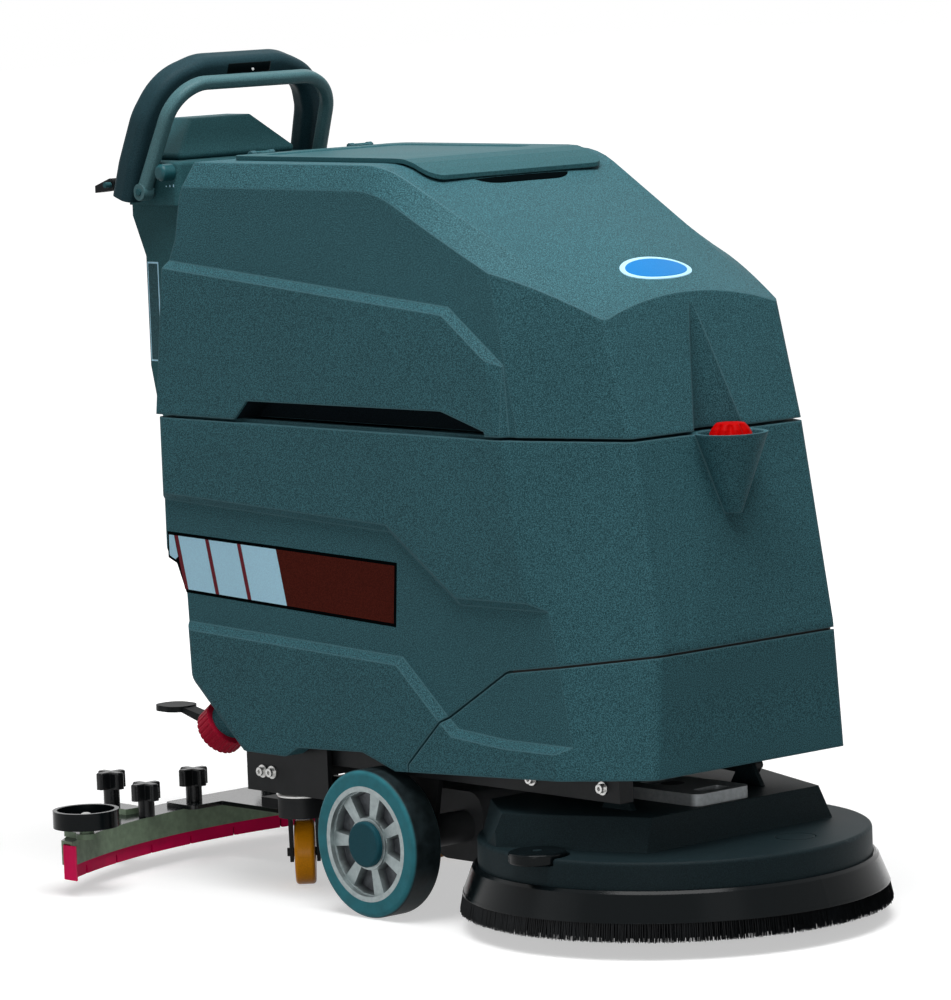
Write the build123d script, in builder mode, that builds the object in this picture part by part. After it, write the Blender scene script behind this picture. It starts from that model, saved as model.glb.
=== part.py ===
from build123d import *
import os
from math import atan2, cos, degrees, radians, sin, sqrt, tan

os.makedirs("parts", exist_ok=True)

# Driving dimensions, in millimetres. X is measured from the drive axle, forward; Z from the floor.

# clearances shared by all pieces
run_fit = 0.05        # radial clearance of a pin in its bore
rest_gap = 0.3        # gap between two pieces that seat on each other and move
side_play = 0.5       # end play of a piece between two cheeks

# drive wheels
wheel_radius = 100
wheel_width = 50
wheel_outer_y = 241
tyre_thickness = 22
rim_lip = 7
rim_web = 16
rim_web_inset = 8
rim_hub_radius = 35
rim_hub_inset = 4
rim_pockets = 7
rim_pocket_depth = 12
rim_pocket_inner = 10
rim_pocket_outer = 42
rim_pocket_taper = 12
hub_cap_radius = 31
hub_cap_height = 8
tyre_round = 7
axle_radius = 12

# casters
caster_x = -250
caster_y = 135
caster_radius = 45
caster_width = 28
caster_trail = 28
caster_leg = 5
caster_axle_radius = 6
caster_king_radius = 8
caster_crown_radius = 34
caster_turn_right = -42
caster_turn_left = 12

# chassis
rail_inner_y = 152
rail_width = 24
rail_bottom_z = 186
rail_top_z = 222
rail_front_x = 428
rail_front_left_x = 330
rear_block_x = -300
rear_block_length = 170
rear_block_y = 190
rear_block_bottom_z = 140
plate = 8
hanger_half_length = 45
hanger_drop = 24
bolt_radius = 6
bolt_height = 6
bolt_socket = 3
washer_radius = 9
washer_thick = 2
rail_bolts_right = (263, 397)
rail_bolts_left = (220, 300)
block_bolts = (-266, -246)
block_bolt_rise = 28

# body shell
body_half_width = 222
panel_step = 10
body_rear_x = -428
part_line_z = 654
part_gap = 4
side_break_x = 272
front_top_x = 411
front_top_z = 808
front_part_x = 453
front_part_half = 155
front_seam_x = 495
front_seam_z = 389
front_seam_half = 160
front_bottom_z = 222
skirt_bottom_z = 200
facet_round = 26
front_round = 12
rear_round = 16
skin = 6
notch_x = -388
notch_z = 446
heel_x = -382
heel_z = 289
heel_bottom_x = -280
arch_rear_x = -179
arch_front_x = 76
arch_top_z = 220
seam_rear_x = 73
seam_low = (140, 274)
seam_high = (262, 347)
seam_gap = 3
cover_lug_x = 250
cover_lug = 24
ledge_slope = 45

# recovery tank
tank_top_z = 1003
tank_floor_z = 700
tank_rear_x = -425
bevel_drop = 58
bevel_half = 198
hood_crease_x = 40
hood_radius = 160
hood_crown = 24
hood_end_x = 460
hood_end_half = 147
hood_end_drop = 5
groove_radius = 50
groove_top_z = 830

# lid of the recovery tank
lid_rear_x = -322
lid_front_x = 95
lid_bend_x = 18
lid_rise = 1.5
lid_half = 158
lid_thick = 6
lid_field = 30
lid_field_depth = 2
lid_round = 24
lid_edge = 2.5
lid_frame = 26
lid_skirt = 12
lid_hinge_x = -333
lid_hinge_radius = 5
lid_pin_radius = 2.5
lid_knuckle_y = 90
lid_knuckle_length = 24

# tank hinge on the left side
hinge_axis_y = 231
hinge_radius = 8
hinge_pin_radius = 4
hinge_leaf = 4
hinge_leaf_height = 44
hinge_length = 90
hinge_xs = (-260, 140)

# filler
filler_x = 474
filler_lip_radius = 49
filler_depth = 104
filler_bore = 24
cap_radius = 28
cap_height = 22

# drain
drain_y = -186
drain_z = 240
drain_dip = 36
drain_neck = 36
drain_radius = 27
drain_cap_radius = 35.5
drain_cap_height = 28
drain_cap_end = 8
drain_ribs = 26
drain_rib = 2.2

# battery bay
bay_rear_x = -340
bay_front_x = 95
bay_half = 188
bay_floor_z = 262
bay_wall = 12
pocket_top_z = 345
battery_length = 330
battery_width = 168
battery_height = 215
battery_x = -160
chamber_front_x = 420
chamber_half = 150
chamber_floor_z = 410
chamber_top_z = 630

# rear column, yoke, console
column_half = 120
column_front_x = -438
column_rear_x = -558
column_bottom_z = 480
column_top_z = 937
column_flare_x = -584
column_flare_z = 920
column_wall = 6
column_toe_x = -440
column_waist_x = -545
column_knee_z = 710
column_flare_low_z = 864
yoke_top_z = 998
yoke_front_x = -458
yoke_rear_x = -572
console_front_x = -486
console_rear_x = -576
console_top_front_x = -526
console_half = 115
console_top_half = 55
console_top_z = 1054
panel_thick = 3
panel_inset = 9
button_radius = 8
button_travel = 3
button_depth = 12
control_pitch = 34
key_reach = 10
flow_x = -472
flow_z = 984
flow_radius = 12
flow_height = 22
flow_stem_radius = 4
flow_stem = 14

# handle hoop and bail lever
hoop_y = 157
hoop_bottom_z = 948
hoop_bottom_x = -548
hoop_lean = 19
hoop_height = 188
hoop_shoulder_y = 150
hoop_shoulder = 118
hoop_bend_y = 128
hoop_bend = 168
hoop_top_half = 70
hoop_width = 35
hoop_depth = 37
hoop_corner = 12
hoop_knee = 50
hoop_round = 70
bail_y = 157
bail_bottom_z = 957
bail_bottom_x = -511
bail_lean = 23
bail_height = 161
bail_top_half = 142
bail_width = 18
bail_depth = 20
bail_corner = 7
bail_round = 60
bail_boss_radius = 12
bail_pin_radius = 5

# deck
deck_x = 344
drum_radius = 260
drum_bottom_z = 82
drum_top_z = 122
ring_radius = 282
ring_flare = 14
ring_lip = 4
ring_bottom_z = 47
ring_top_z = 86
skirt_radius = 287
skirt_bottom = 22
tower_top_z = 166
tower_base = [(112, -160), (-100, -242), (-190, -170)]
tower_top = [(105, -140), (-80, -232), (-180, -160)]
ring_wall = 8
backing_width = 9
backing_gap = 0.2
foot_inset = 0.75
tower_setback = 7
tower_spread = 26
drum_cover = (178, 46)
drum_cover_radius = 27
drum_cover_groove = 1.5
deck_wall = 6
brush_radius = 250
brush_plate_z = 50
brush_tip_z = 20
brush_plate_thick = 18
motor_radius = 60
motor_bottom_z = 92
motor_plate_thick = 16
motor_plate_x = 22
motor_plate_length = 150
motor_plate_width = 100
motor_window = 46
motor_shaft_radius = 12
brush_hub = 12
tuft = 6
tuft_rings = 3
tuft_pitch = 26
tufts_per_ring = 44
ear_y = 118
ear_thick = 8
ear_x = 365
ear_z = 190
arm_reach_y = 142
arm_pivot_x = 112
arm_pivot_z = 203
arm_thick = 10
arm_pin_radius = 6
arm_tube_radius = 10
arm_sleeve_radius = 15
deck_roller_radius = 38
deck_roller_height = 15
deck_roller_reach = 246
deck_roller_sink = 10
strand_rows = 2
strands_per_row = 150
strand = 2.6

# squeegee, shown raised
blade_bottom_z = 22
channel_bottom_z = 41
channel_top_z = 75
channel_depth = 62
channel_wall = 4
channel_front_x = -560
channel_half = 372
channel_sweep = 95
channel_end_depth = 24
blade_thick = 4
blade_slots = 9
blade_slot_pitch = 84
blade_slot_width = 4
blade_slot_height = 12
knob_radius = 23
knob_arm = 14
knob_stud_radius = 4
knob_height = 48
mount_knob_y = 70
mount_knob_x = -566
clamp_knob_y = 172
clamp_knob_x = -548
mount_plate_thick = 6
mount_plate_depth = 64
mount_plate_half = 100
arm_plate = 14
roller_radius = 46
roller_height = 24
roller_bottom_z = 92
roller_x = -472
end_roller_y = 340
roller_wall = 6
roller_hub = 12
end_bracket = 40
roller_pin_radius = 5
support_x = -632
support_y = 167
support_radius = 18
support_width = 16
support_lift = 2
support_bracket = 60
spigot_x = -551
spigot_y = 228
spigot_radius = 20
spigot_height = 45
swing_x = -420
swing_pin_radius = 9
lift_x = -322
lift_z = 118
lift_pin_radius = 7
lift_arm_half = 45

# foot pedal and squeegee lever
pedal_y = -130
pedal_pivot_x = -322
pedal_pivot_z = 186
pedal_tip_x = -552
pedal_tip_z = 232
pedal_width = 50
pedal_pin_radius = 6
pedal_cheek_y = 11
pedal_cheek = 6
pedal_pad = 8
pedal_half = 11
lever_x = -582
lever_y = -150
lever_z = 966
lever_width = 20
lever_length = 34
lever_boss_radius = 9
lever_pin_radius = 4

# The squeegee's support wheel and the deck's skirt set the length; the origin is midway between them.
rear_reach = -support_x + support_radius
front_reach = deck_x + skirt_radius
axle_x = (rear_reach - front_reach) / 2

AXLE = Plane(origin=(axle_x, 0, 0))
DECK = Plane(origin=(axle_x + deck_x, 0, 0))


def plan(z):
    """Horizontal plane at height z, with its origin over the drive axle."""
    return AXLE.offset(z)


def side(y):
    """Upright plane along the machine at y, looking left: local x is forward, local y is up."""
    return Plane(origin=(axle_x, y, 0), x_dir=(1, 0, 0), z_dir=(0, -1, 0))


def cross(x):
    """Upright plane across the machine at x, looking back: local x is left, local y is up."""
    return Plane(origin=(axle_x + x, 0, 0), x_dir=(0, 1, 0), z_dir=(1, 0, 0))


def spot(x, y, z):
    """Place measured from the drive axle."""
    return Location((axle_x + x, y, z))


def save(piece, name):
    piece.part.label = name
    export_step(piece.part, f"parts/{name}.step")


# body form shared by the tank, the solution tank and the front cover
facet_plane = Plane(
    origin=(axle_x + front_part_x, -front_part_half, part_line_z),
    x_dir=(side_break_x - front_part_x, front_part_half - body_half_width, 0),
    z_dir=Vector(front_part_x - side_break_x, body_half_width - front_part_half, 0).cross(
        Vector(front_part_x - front_seam_x, front_seam_half - front_part_half, part_line_z - front_seam_z)
    ),
)


def front_line(z):
    """X of the body's front face at height z."""
    if z >= part_line_z:
        run = (front_part_x - front_top_x) / (front_top_z - part_line_z)
        return front_part_x - run * (z - part_line_z)
    run = (front_seam_x - front_part_x) / (part_line_z - front_seam_z)
    return front_part_x + run * min(part_line_z - z, part_line_z - front_seam_z)


hood_tilt = atan2(tank_top_z - front_top_z, front_top_x - hood_crease_x)
hood_start_x = hood_crease_x - hood_radius * tan(hood_tilt / 2)
hood_arc_xs = [hood_start_x + hood_radius * sin(hood_tilt * i / 4) for i in range(5)]
lower_top_z = part_line_z - part_gap / 2
tank_bottom_z = part_line_z + part_gap / 2


def lower_outline(inset=0):
    """Side outline of the lower body, from the part line down to the skirt."""
    with BuildSketch(side(0)) as outline:
        with BuildLine():
            FilletPolyline(
                (body_rear_x, lower_top_z),
                (body_rear_x, notch_z + 18),
                (notch_x - 6, notch_z),
                (notch_x, notch_z - 40),
                (heel_x, heel_z),
                (heel_bottom_x, skirt_bottom_z),
                (arch_rear_x, skirt_bottom_z),
                (arch_rear_x + 26, arch_top_z - 6),
                (-20, arch_top_z),
                (arch_front_x - 30, skirt_bottom_z),
                (front_seam_x - 2, front_bottom_z),
                (front_seam_x, front_seam_z),
                (front_line(lower_top_z), lower_top_z),
                radius=[0, 12, 12, 8, 24, 0, 12, 10, 14, 14, 0, 40, 0],
                close=True,
            )
        make_face()
        if inset:
            offset(amount=-inset, kind=Kind.INTERSECTION)
    return outline.sketch


def side_field(points):
    """Field on the right side, to be sunk with a sloping ledge round it."""
    with BuildSketch(side(-body_half_width)) as field:
        with BuildLine():
            Polyline(*points, close=True)
        make_face()
    return field.sketch


def upright_edges(part, near_x, tolerance=70):
    """Edges that run mostly upright, whose middle lies near near_x on the right side."""
    return part.edges().filter_by(
        lambda e: abs(e.tangent_at(0.5).Z) > 0.7
        and abs(e.center().X - axle_x - near_x) < tolerance
        and e.center().Y < -front_part_half + 20
    )


def lower_half():
    """Right half of the lower body, with its facet, rounds and stepped side panels."""
    with BuildPart() as half:
        extrude(lower_outline(), amount=body_half_width)
        split(bisect_by=facet_plane, keep=Keep.BOTTOM)
        fillet(
            half.edges().filter_by(
                lambda e: abs(e.center().Y + body_half_width) < 0.1
                and e.center().X < axle_x + heel_bottom_x + 20
            ),
            radius=rear_round,
        )
        fillet(upright_edges(half, side_break_x + 45), radius=facet_round)
        fillet(upright_edges(half, front_seam_x - 15, 40), radius=front_round)
        extrude(side_field(lower_field), amount=-panel_step, taper=ledge_slope, mode=Mode.SUBTRACT)
    return half.part


def hood_line(x):
    """Height of the tank's top: flat, then an arc, then the sloping hood."""
    if x <= hood_start_x:
        return tank_top_z
    if x <= hood_arc_xs[-1]:
        return tank_top_z - hood_radius + sqrt(hood_radius**2 - (x - hood_start_x) ** 2)
    return front_top_z + (front_top_x - x) * tan(hood_tilt)


def tank_section(x, inset, floor_z):
    """Right half of the tank's cross-section at x: side, shoulder bevel and top."""
    along = max(0.0, (x - hood_start_x) / (hood_end_x - hood_start_x))
    top_z = hood_line(x) - inset
    drop = bevel_drop + (hood_end_drop - bevel_drop) * along
    top_half = bevel_half + (hood_end_half - bevel_half) * along - inset
    ridge_z = top_z + hood_crown * along
    with BuildSketch(cross(x)) as section:
        with BuildLine():
            Polyline(
                (0, ridge_z), (0, floor_z), (-body_half_width + inset, floor_z),
                (-body_half_width + inset, top_z - drop), (-top_half, top_z),
            )
            Bezier((-top_half, top_z), (-top_half / 2, ridge_z), (0, ridge_z))
        make_face()
    return section.sketch


def tank_outline(inset=0):
    """Side outline that trims the tank at its rear and front."""
    with BuildSketch(side(0)) as outline:
        with BuildLine():
            FilletPolyline(
                (tank_rear_x, tank_bottom_z),
                (tank_rear_x + 25, 858),
                (tank_rear_x + 45, 897),
                (tank_rear_x + 57, 952),
                (tank_rear_x + 82, tank_top_z + 10),
                (tank_rear_x + 82, tank_top_z + 60),
                (front_line(tank_top_z + 60), tank_top_z + 60),
                (front_line(tank_bottom_z), tank_bottom_z),
                radius=[0, 60, 30, 60, 20, 0, 0, 0],
                close=True,
            )
        make_face()
        if inset:
            offset(amount=-inset, kind=Kind.INTERSECTION)
    return outline.sketch


def groove_cone(extra=0):
    """Half-cone recess in the tank's front, over the filler."""
    with BuildPart() as cone:
        with BuildSketch(plan(tank_bottom_z - 5)):
            with Locations((filler_x, 0)):
                Circle(groove_radius + extra)
        with BuildSketch(plan(groove_top_z + extra)):
            with Locations((front_line(groove_top_z) + 6, 0)):
                Circle(4 + extra)
        loft()
    return cone.part


def tank_half(inset=0):
    """Right half of the recovery tank's outside, or of its cavity when inset is given."""
    floor_z = tank_floor_z if inset else tank_bottom_z
    with BuildPart() as half:
        for x in (tank_rear_x - 5, *hood_arc_xs, hood_end_x):
            add(tank_section(x, inset, floor_z))
        loft(ruled=True)
        extrude(tank_outline(inset), amount=body_half_width, mode=Mode.INTERSECT)
        split(bisect_by=facet_plane.offset(-inset), keep=Keep.BOTTOM)
        if not inset:
            fillet(upright_edges(half, side_break_x - 15, 40), radius=facet_round)
            fillet(upright_edges(half, front_part_x - 20, 40), radius=front_round)
            extrude(side_field(tank_field), amount=-panel_step, taper=ledge_slope, mode=Mode.SUBTRACT)
    return half.part


lower_field = [
    (-470, 549), (46, 529), (179, 441), (430, 444),
    (430, 250), (258, 249), (160, 256), (136, 274), (55, 343), (-470, 363),
]
tank_field = [(-470, 864), (171, 811), (267, 743), (274, 640), (480, 640), (480, 1100), (-470, 1100)]


# recovery tank: lifts on its left hinge, hollow, with a hand slot and the groove over the filler
hand_slot = [(-275, 640), (-231, 682), (163, 685), (245, 662), (252, 640)]
slot_depth = 46
opening_rear_x = lid_rear_x + lid_frame
opening_front_x = hood_start_x
opening_half = lid_half - lid_frame
lid_ear = 8
lid_axis_z = tank_top_z + lid_hinge_radius

with BuildPart() as tank_cavity:
    add(tank_half(skin + panel_step))
    mirror(about=Plane.XZ)
    add(groove_cone(skin), mode=Mode.SUBTRACT)

with BuildPart() as recovery_tank:
    add(tank_half())
    mirror(about=Plane.XZ)
    add(groove_cone(), mode=Mode.SUBTRACT)
    add(tank_cavity.part, mode=Mode.SUBTRACT)
    with BuildSketch(side(-body_half_width)):
        with BuildLine():
            Polyline(*hand_slot, close=True)
        make_face()
    extrude(amount=-slot_depth, mode=Mode.SUBTRACT)
    with BuildSketch(plan(tank_top_z + 5)):
        with Locations(((opening_rear_x + opening_front_x) / 2, 0)):
            RectangleRounded(opening_front_x - opening_rear_x, 2 * opening_half, 20)
    extrude(amount=-60, mode=Mode.SUBTRACT)
    # ears that carry the lid's hinge pins
    for ear_side in (-1, 1):
        for offset_y in (-1, 1):
            ear_y_mid = ear_side * lid_knuckle_y + offset_y * (lid_knuckle_length + lid_ear + 2 * side_play) / 2
            with BuildSketch(side(ear_y_mid + lid_ear / 2)):
                with Locations((lid_hinge_x, lid_axis_z)):
                    Circle(lid_hinge_radius)
                with Locations((lid_hinge_x, lid_axis_z - lid_hinge_radius)):
                    Rectangle(2 * lid_hinge_radius, 2 * lid_hinge_radius + 6)
            extrude(amount=lid_ear)
        with BuildSketch(side(ear_side * lid_knuckle_y + lid_knuckle_length / 2 + lid_ear / 2)):
            with Locations((lid_hinge_x, lid_axis_z)):
                Circle(lid_pin_radius)
        extrude(amount=lid_knuckle_length + lid_ear)
save(recovery_tank, "recovery_tank")

# lid: shallow cover with a skirt in the opening, knuckles on the tank's pins
lid_z = tank_top_z + rest_gap


def hood_ridge(x):
    """Height of the hood's middle line, with the lid's clearance."""
    along = (x - hood_start_x) / (hood_end_x - hood_start_x)
    return hood_line(x) + hood_crown * along + rest_gap


lid_line = [(lid_rear_x - 1, lid_z), (lid_bend_x, lid_z)]
for part_way in (0.25, 0.5, 0.75, 1):
    lid_x = lid_bend_x + part_way * (lid_front_x + 1 - lid_bend_x)
    lid_line.append((lid_x, min(lid_z, hood_ridge(lid_x) + lid_rise)))
with BuildPart(AXLE) as tank_lid:
    with BuildSketch(plan(lid_z)):
        with Locations(((lid_rear_x + lid_front_x) / 2, 0)):
            RectangleRounded(lid_front_x - lid_rear_x, 2 * lid_half, lid_round)
    extrude(amount=lid_thick)
    extrude(tank_lid.faces().sort_by(Axis.Z)[0], amount=lid_z - hood_ridge(lid_front_x))
    with BuildSketch(side(2 * lid_half)):
        with BuildLine():
            Polyline(*lid_line, *[(x, z + lid_thick) for x, z in reversed(lid_line)], close=True)
        make_face()
    extrude(amount=4 * lid_half, mode=Mode.INTERSECT)
    # sunk field inside the border
    with BuildSketch(plan(lid_z + lid_thick)):
        with Locations(((lid_rear_x + lid_bend_x) / 2, 0)):
            RectangleRounded(
                lid_bend_x - lid_rear_x - 2 * lid_field, 2 * (lid_half - lid_field), lid_round - lid_edge
            )
    extrude(amount=-lid_field_depth, taper=ledge_slope, mode=Mode.SUBTRACT)
    # skirt that drops into the opening
    with BuildSketch(plan(lid_z)):
        with Locations(((opening_rear_x + opening_front_x) / 2, 0)):
            RectangleRounded(opening_front_x - opening_rear_x - 8, 2 * opening_half - 8, 16)
            RectangleRounded(
                opening_front_x - opening_rear_x - 16, 2 * opening_half - 16, 12, mode=Mode.SUBTRACT
            )
    extrude(amount=-lid_skirt)
    for ear_side in (-1, 1):
        with BuildSketch(side(ear_side * lid_knuckle_y + lid_knuckle_length / 2)):
            with Locations((lid_hinge_x, lid_axis_z)):
                Circle(lid_hinge_radius - 1)
            with Locations(((lid_hinge_x + lid_rear_x + 4) / 2, lid_axis_z)):
                Rectangle(lid_rear_x + 4 - lid_hinge_x, lid_hinge_radius)
            with Locations((lid_hinge_x, lid_axis_z)):
                Circle(lid_pin_radius + run_fit, mode=Mode.SUBTRACT)
        extrude(amount=lid_knuckle_length)
save(tank_lid, "tank_lid")

# rubber gasket under the lid's border
with BuildPart(AXLE) as lid_gasket:
    with BuildSketch(plan(lid_z)):
        with Locations(((opening_rear_x + opening_front_x) / 2, 0)):
            RectangleRounded(opening_front_x - opening_rear_x - 17, 2 * opening_half - 17, 11.5)
            RectangleRounded(
                opening_front_x - opening_rear_x - 29, 2 * opening_half - 29, 8, mode=Mode.SUBTRACT
            )
    extrude(amount=-6)
save(lid_gasket, "lid_gasket")

# lower body: filler cup in front, battery bay, solution chamber, room for the chassis below
cover_region = [
    (seam_rear_x, 150), (seam_rear_x, 211), seam_low, seam_high, (600, seam_high[1] + 46), (600, 150),
]


def cover_block(gap):
    """Side region of the front cover, grown by gap."""
    with BuildSketch(side(body_half_width + 20)) as region:
        with BuildLine():
            FilletPolyline(*cover_region, radius=[0, 8, 10, 30, 0, 0], close=True)
        make_face()
        if gap:
            offset(amount=gap)
    return region.sketch


with BuildPart() as lower_body:
    add(lower_half())
    mirror(about=Plane.XZ)

drain_x = heel_x + (heel_z - drain_z) * (heel_bottom_x - heel_x) / (heel_z - skirt_bottom_z)
drain_plane = Plane(
    origin=(axle_x + drain_x, drain_y, drain_z), x_dir=(0, 1, 0),
    z_dir=(-cos(radians(drain_dip)), 0, -sin(radians(drain_dip))),
)
rim_rise = part_gap - rest_gap
rim_inset = 16
rim_width = 10
with BuildPart() as solution_tank:
    add(lower_body.part)
    # drain neck on the heel
    with BuildSketch(drain_plane) as neck:
        Circle(drain_radius)
    extrude(amount=drain_neck)
    extrude(neck.sketch, amount=-20)
    # filler cup on the front face
    with BuildSketch(plan(lower_top_z)):
        with Locations((filler_x, 0)):
            Circle(filler_lip_radius)
    with BuildSketch(plan(lower_top_z - filler_depth)):
        with Locations((front_line(lower_top_z - filler_depth) + 4, 0)):
            Circle(12)
    loft()
    with BuildSketch(plan(lower_top_z)):
        with Locations((filler_x, 0)):
            Circle(filler_lip_radius - skin)
    extrude(amount=-14, taper=8, mode=Mode.SUBTRACT)
    with BuildSketch(plan(lower_top_z)):
        with Locations((filler_x, 0)):
            Circle(filler_bore)
    extrude(amount=-60, mode=Mode.SUBTRACT)
    extrude(cover_block(seam_gap), amount=2 * body_half_width + 40, mode=Mode.SUBTRACT)
    with Locations(spot((bay_rear_x + bay_front_x) / 2, 0, bay_floor_z)):
        Box(
            bay_front_x - bay_rear_x, 2 * bay_half, lower_top_z, mode=Mode.SUBTRACT,
            align=(Align.CENTER, Align.CENTER, Align.MIN),
        )
    with Locations(spot((bay_front_x + 14 + chamber_front_x) / 2, 0, chamber_floor_z)):
        Box(
            chamber_front_x - bay_front_x - 14, 2 * chamber_half, chamber_top_z - chamber_floor_z,
            mode=Mode.SUBTRACT, align=(Align.CENTER, Align.CENTER, Align.MIN),
        )
    # passage from the filler into the chamber
    with BuildSketch(cross(chamber_front_x - 1)):
        with Locations((0, lower_top_z - 44)):
            Circle(15)
    extrude(amount=filler_x - chamber_front_x, mode=Mode.SUBTRACT)
    # room for the chassis under the floor, and for the deck's motor and arms in front
    with Locations(spot(rear_block_x - 10, 0, rail_top_z)):
        Box(
            bay_front_x + bay_wall - rear_block_x + 12, 2 * (rear_block_y + 2), 100, mode=Mode.SUBTRACT,
            align=(Align.MIN, Align.CENTER, Align.MAX),
        )
    with Locations(spot(bay_front_x + bay_wall, 0, pocket_top_z)):
        Box(
            420, 2 * (rear_block_y - 4), 240, mode=Mode.SUBTRACT,
            align=(Align.MIN, Align.CENTER, Align.MAX),
        )
    # rim that carries the recovery tank, set back from the outside
    with BuildSketch(plan(lower_top_z)) as rim_sketch:
        with Locations(((body_rear_x + side_break_x) / 2, 0)):
            RectangleRounded(side_break_x - body_rear_x - 2 * rim_inset, 2 * (body_half_width - rim_inset), 20)
            RectangleRounded(
                side_break_x - body_rear_x - 2 * rim_inset - 2 * rim_width,
                2 * (body_half_width - rim_inset - rim_width), 14, mode=Mode.SUBTRACT,
            )
    extrude(amount=rim_rise)
save(solution_tank, "solution_tank")

# front cover: thin shell under the seam, open below and behind
with BuildPart() as cover_inside:
    extrude(lower_outline(), amount=body_half_width - panel_step - skin, both=True)
    with BuildSketch(plan(skirt_bottom_z)):
        with Locations((250, 0)):
            Rectangle(600, 2 * (body_half_width - panel_step - skin))
    extrude(amount=60, both=True)
    split(bisect_by=facet_plane.offset(-skin), keep=Keep.BOTTOM)
    left_facet = facet_plane.offset(-skin)
    split(
        bisect_by=Plane(
            origin=(left_facet.origin.X, -left_facet.origin.Y, left_facet.origin.Z),
            z_dir=(left_facet.z_dir.X, -left_facet.z_dir.Y, left_facet.z_dir.Z),
        ),
        keep=Keep.BOTTOM,
    )
    split(bisect_by=cross(front_seam_x - skin), keep=Keep.BOTTOM)
with BuildPart() as front_cover:
    add(lower_body.part)
    extrude(cover_block(0), amount=2 * body_half_width + 40, mode=Mode.INTERSECT)
    add(cover_inside.part, mode=Mode.SUBTRACT)
    # lugs that seat the cover against the rails
    for hand in (-1, 1):
        with Locations(spot(cover_lug_x, hand * (rail_inner_y + rail_width), rail_top_z)):
            Box(
                cover_lug, body_half_width - panel_step - skin - rail_inner_y - rail_width + 1, plate,
                align=(Align.CENTER, Align.MIN if hand > 0 else Align.MAX, Align.MAX),
            )
save(front_cover, "front_cover")

# filler cap: ribbed red cap on the filler bore
cap_flange = 4
with BuildPart(AXLE) as filler_cap:
    with BuildSketch(plan(lower_top_z - 14 + rest_gap)):
        with Locations((filler_x, 0)):
            Circle(cap_radius + 3)
    extrude(amount=cap_flange)
    with BuildSketch(plan(lower_top_z - 14 + rest_gap + cap_flange)):
        with Locations((filler_x, 0)):
            Circle(cap_radius)
            with PolarLocations(cap_radius + 1.5, 12):
                Circle(4, mode=Mode.SUBTRACT)
    extrude(amount=cap_height)
    fillet(filler_cap.faces().sort_by(Axis.Z)[-1].edges(), radius=2)
    with BuildSketch(plan(lower_top_z - 14 + rest_gap)):
        with Locations((filler_x, 0)):
            Circle(filler_bore - rest_gap)
    extrude(amount=-12)
save(filler_cap, "filler_cap")

# drain cap on the heel's neck, with fine ribs
drain_mouth = drain_plane.offset(drain_neck - drain_cap_height + drain_cap_end)
with BuildPart() as drain_cap:
    with BuildSketch(drain_mouth):
        Circle(drain_cap_radius)
        with PolarLocations(drain_cap_radius + drain_rib / 2, drain_ribs):
            Circle(drain_rib, mode=Mode.SUBTRACT)
    extrude(amount=drain_cap_height)
    with BuildSketch(drain_mouth):
        Circle(drain_radius + run_fit)
    extrude(amount=drain_cap_height - drain_cap_end + rest_gap, mode=Mode.SUBTRACT)
save(drain_cap, "drain_cap")


# tank hinges on the left side
knuckle = hinge_length / 3
with BuildPart() as hinge_base:
    for x in hinge_xs:
        with BuildSketch(side(body_half_width + hinge_leaf)):
            with Locations((x, part_line_z - hinge_radius - 1.5 - hinge_leaf_height / 2)):
                RectangleRounded(hinge_length, hinge_leaf_height, 4)
        extrude(amount=hinge_leaf)
        for start in (-hinge_length / 2, hinge_length / 2 - knuckle):
            with BuildSketch(cross(x + start)):
                with Locations((hinge_axis_y, part_line_z)):
                    Circle(hinge_radius)
                with BuildLine():
                    Polyline(
                        (body_half_width, lower_top_z - 20), (body_half_width + hinge_leaf, lower_top_z - 20),
                        (hinge_axis_y + hinge_radius * 0.8, part_line_z - hinge_radius * 0.6),
                        (hinge_axis_y - hinge_radius * 0.8, part_line_z - hinge_radius * 0.6), close=True,
                    )
                make_face()
            extrude(amount=knuckle)
        with BuildSketch(cross(x - hinge_length / 2)):
            with Locations((hinge_axis_y, part_line_z)):
                Circle(hinge_pin_radius)
        extrude(amount=hinge_length)
save(hinge_base, "tank_hinge_base")

with BuildPart() as hinge_leaves:
    for x in hinge_xs:
        with BuildSketch(side(body_half_width + hinge_leaf)):
            with Locations((x, part_line_z + hinge_radius + 1.5 + hinge_leaf_height / 2)):
                RectangleRounded(hinge_length, hinge_leaf_height, 4)
        extrude(amount=hinge_leaf)
        with BuildSketch(cross(x - knuckle / 2 + side_play)):
            with Locations((hinge_axis_y, part_line_z)):
                Circle(hinge_radius)
            with BuildLine():
                Polyline(
                    (body_half_width, tank_bottom_z + 24), (body_half_width + hinge_leaf, tank_bottom_z + 24),
                    (hinge_axis_y + hinge_radius * 0.8, part_line_z + hinge_radius * 0.6),
                    (hinge_axis_y - hinge_radius * 0.8, part_line_z + hinge_radius * 0.6), close=True,
                )
            make_face()
            with Locations((hinge_axis_y, part_line_z)):
                Circle(hinge_pin_radius + run_fit, mode=Mode.SUBTRACT)
        extrude(amount=knuckle - 2 * side_play)
save(hinge_leaves, "tank_hinge_leaves")


# drive wheels
rim_radius = wheel_radius - tyre_thickness
pocket_reach = rim_radius - rim_lip - 1


def wheel_plane(hand, depth):
    """Plane across a wheel's axle, depth in from its outer face, facing inward; hand is -1 right, 1 left."""
    return Plane(
        origin=(axle_x, hand * (wheel_outer_y - depth), wheel_radius), x_dir=(1, 0, 0), z_dir=(0, -hand, 0)
    )


def tyre(hand):
    with BuildPart() as piece:
        with BuildSketch(wheel_plane(hand, 0)):
            Circle(wheel_radius)
            Circle(rim_radius, mode=Mode.SUBTRACT)
        extrude(amount=wheel_width)
        fillet(piece.edges().filter_by(GeomType.CIRCLE).group_by(SortBy.RADIUS)[-1], radius=tyre_round)
    return piece


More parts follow.
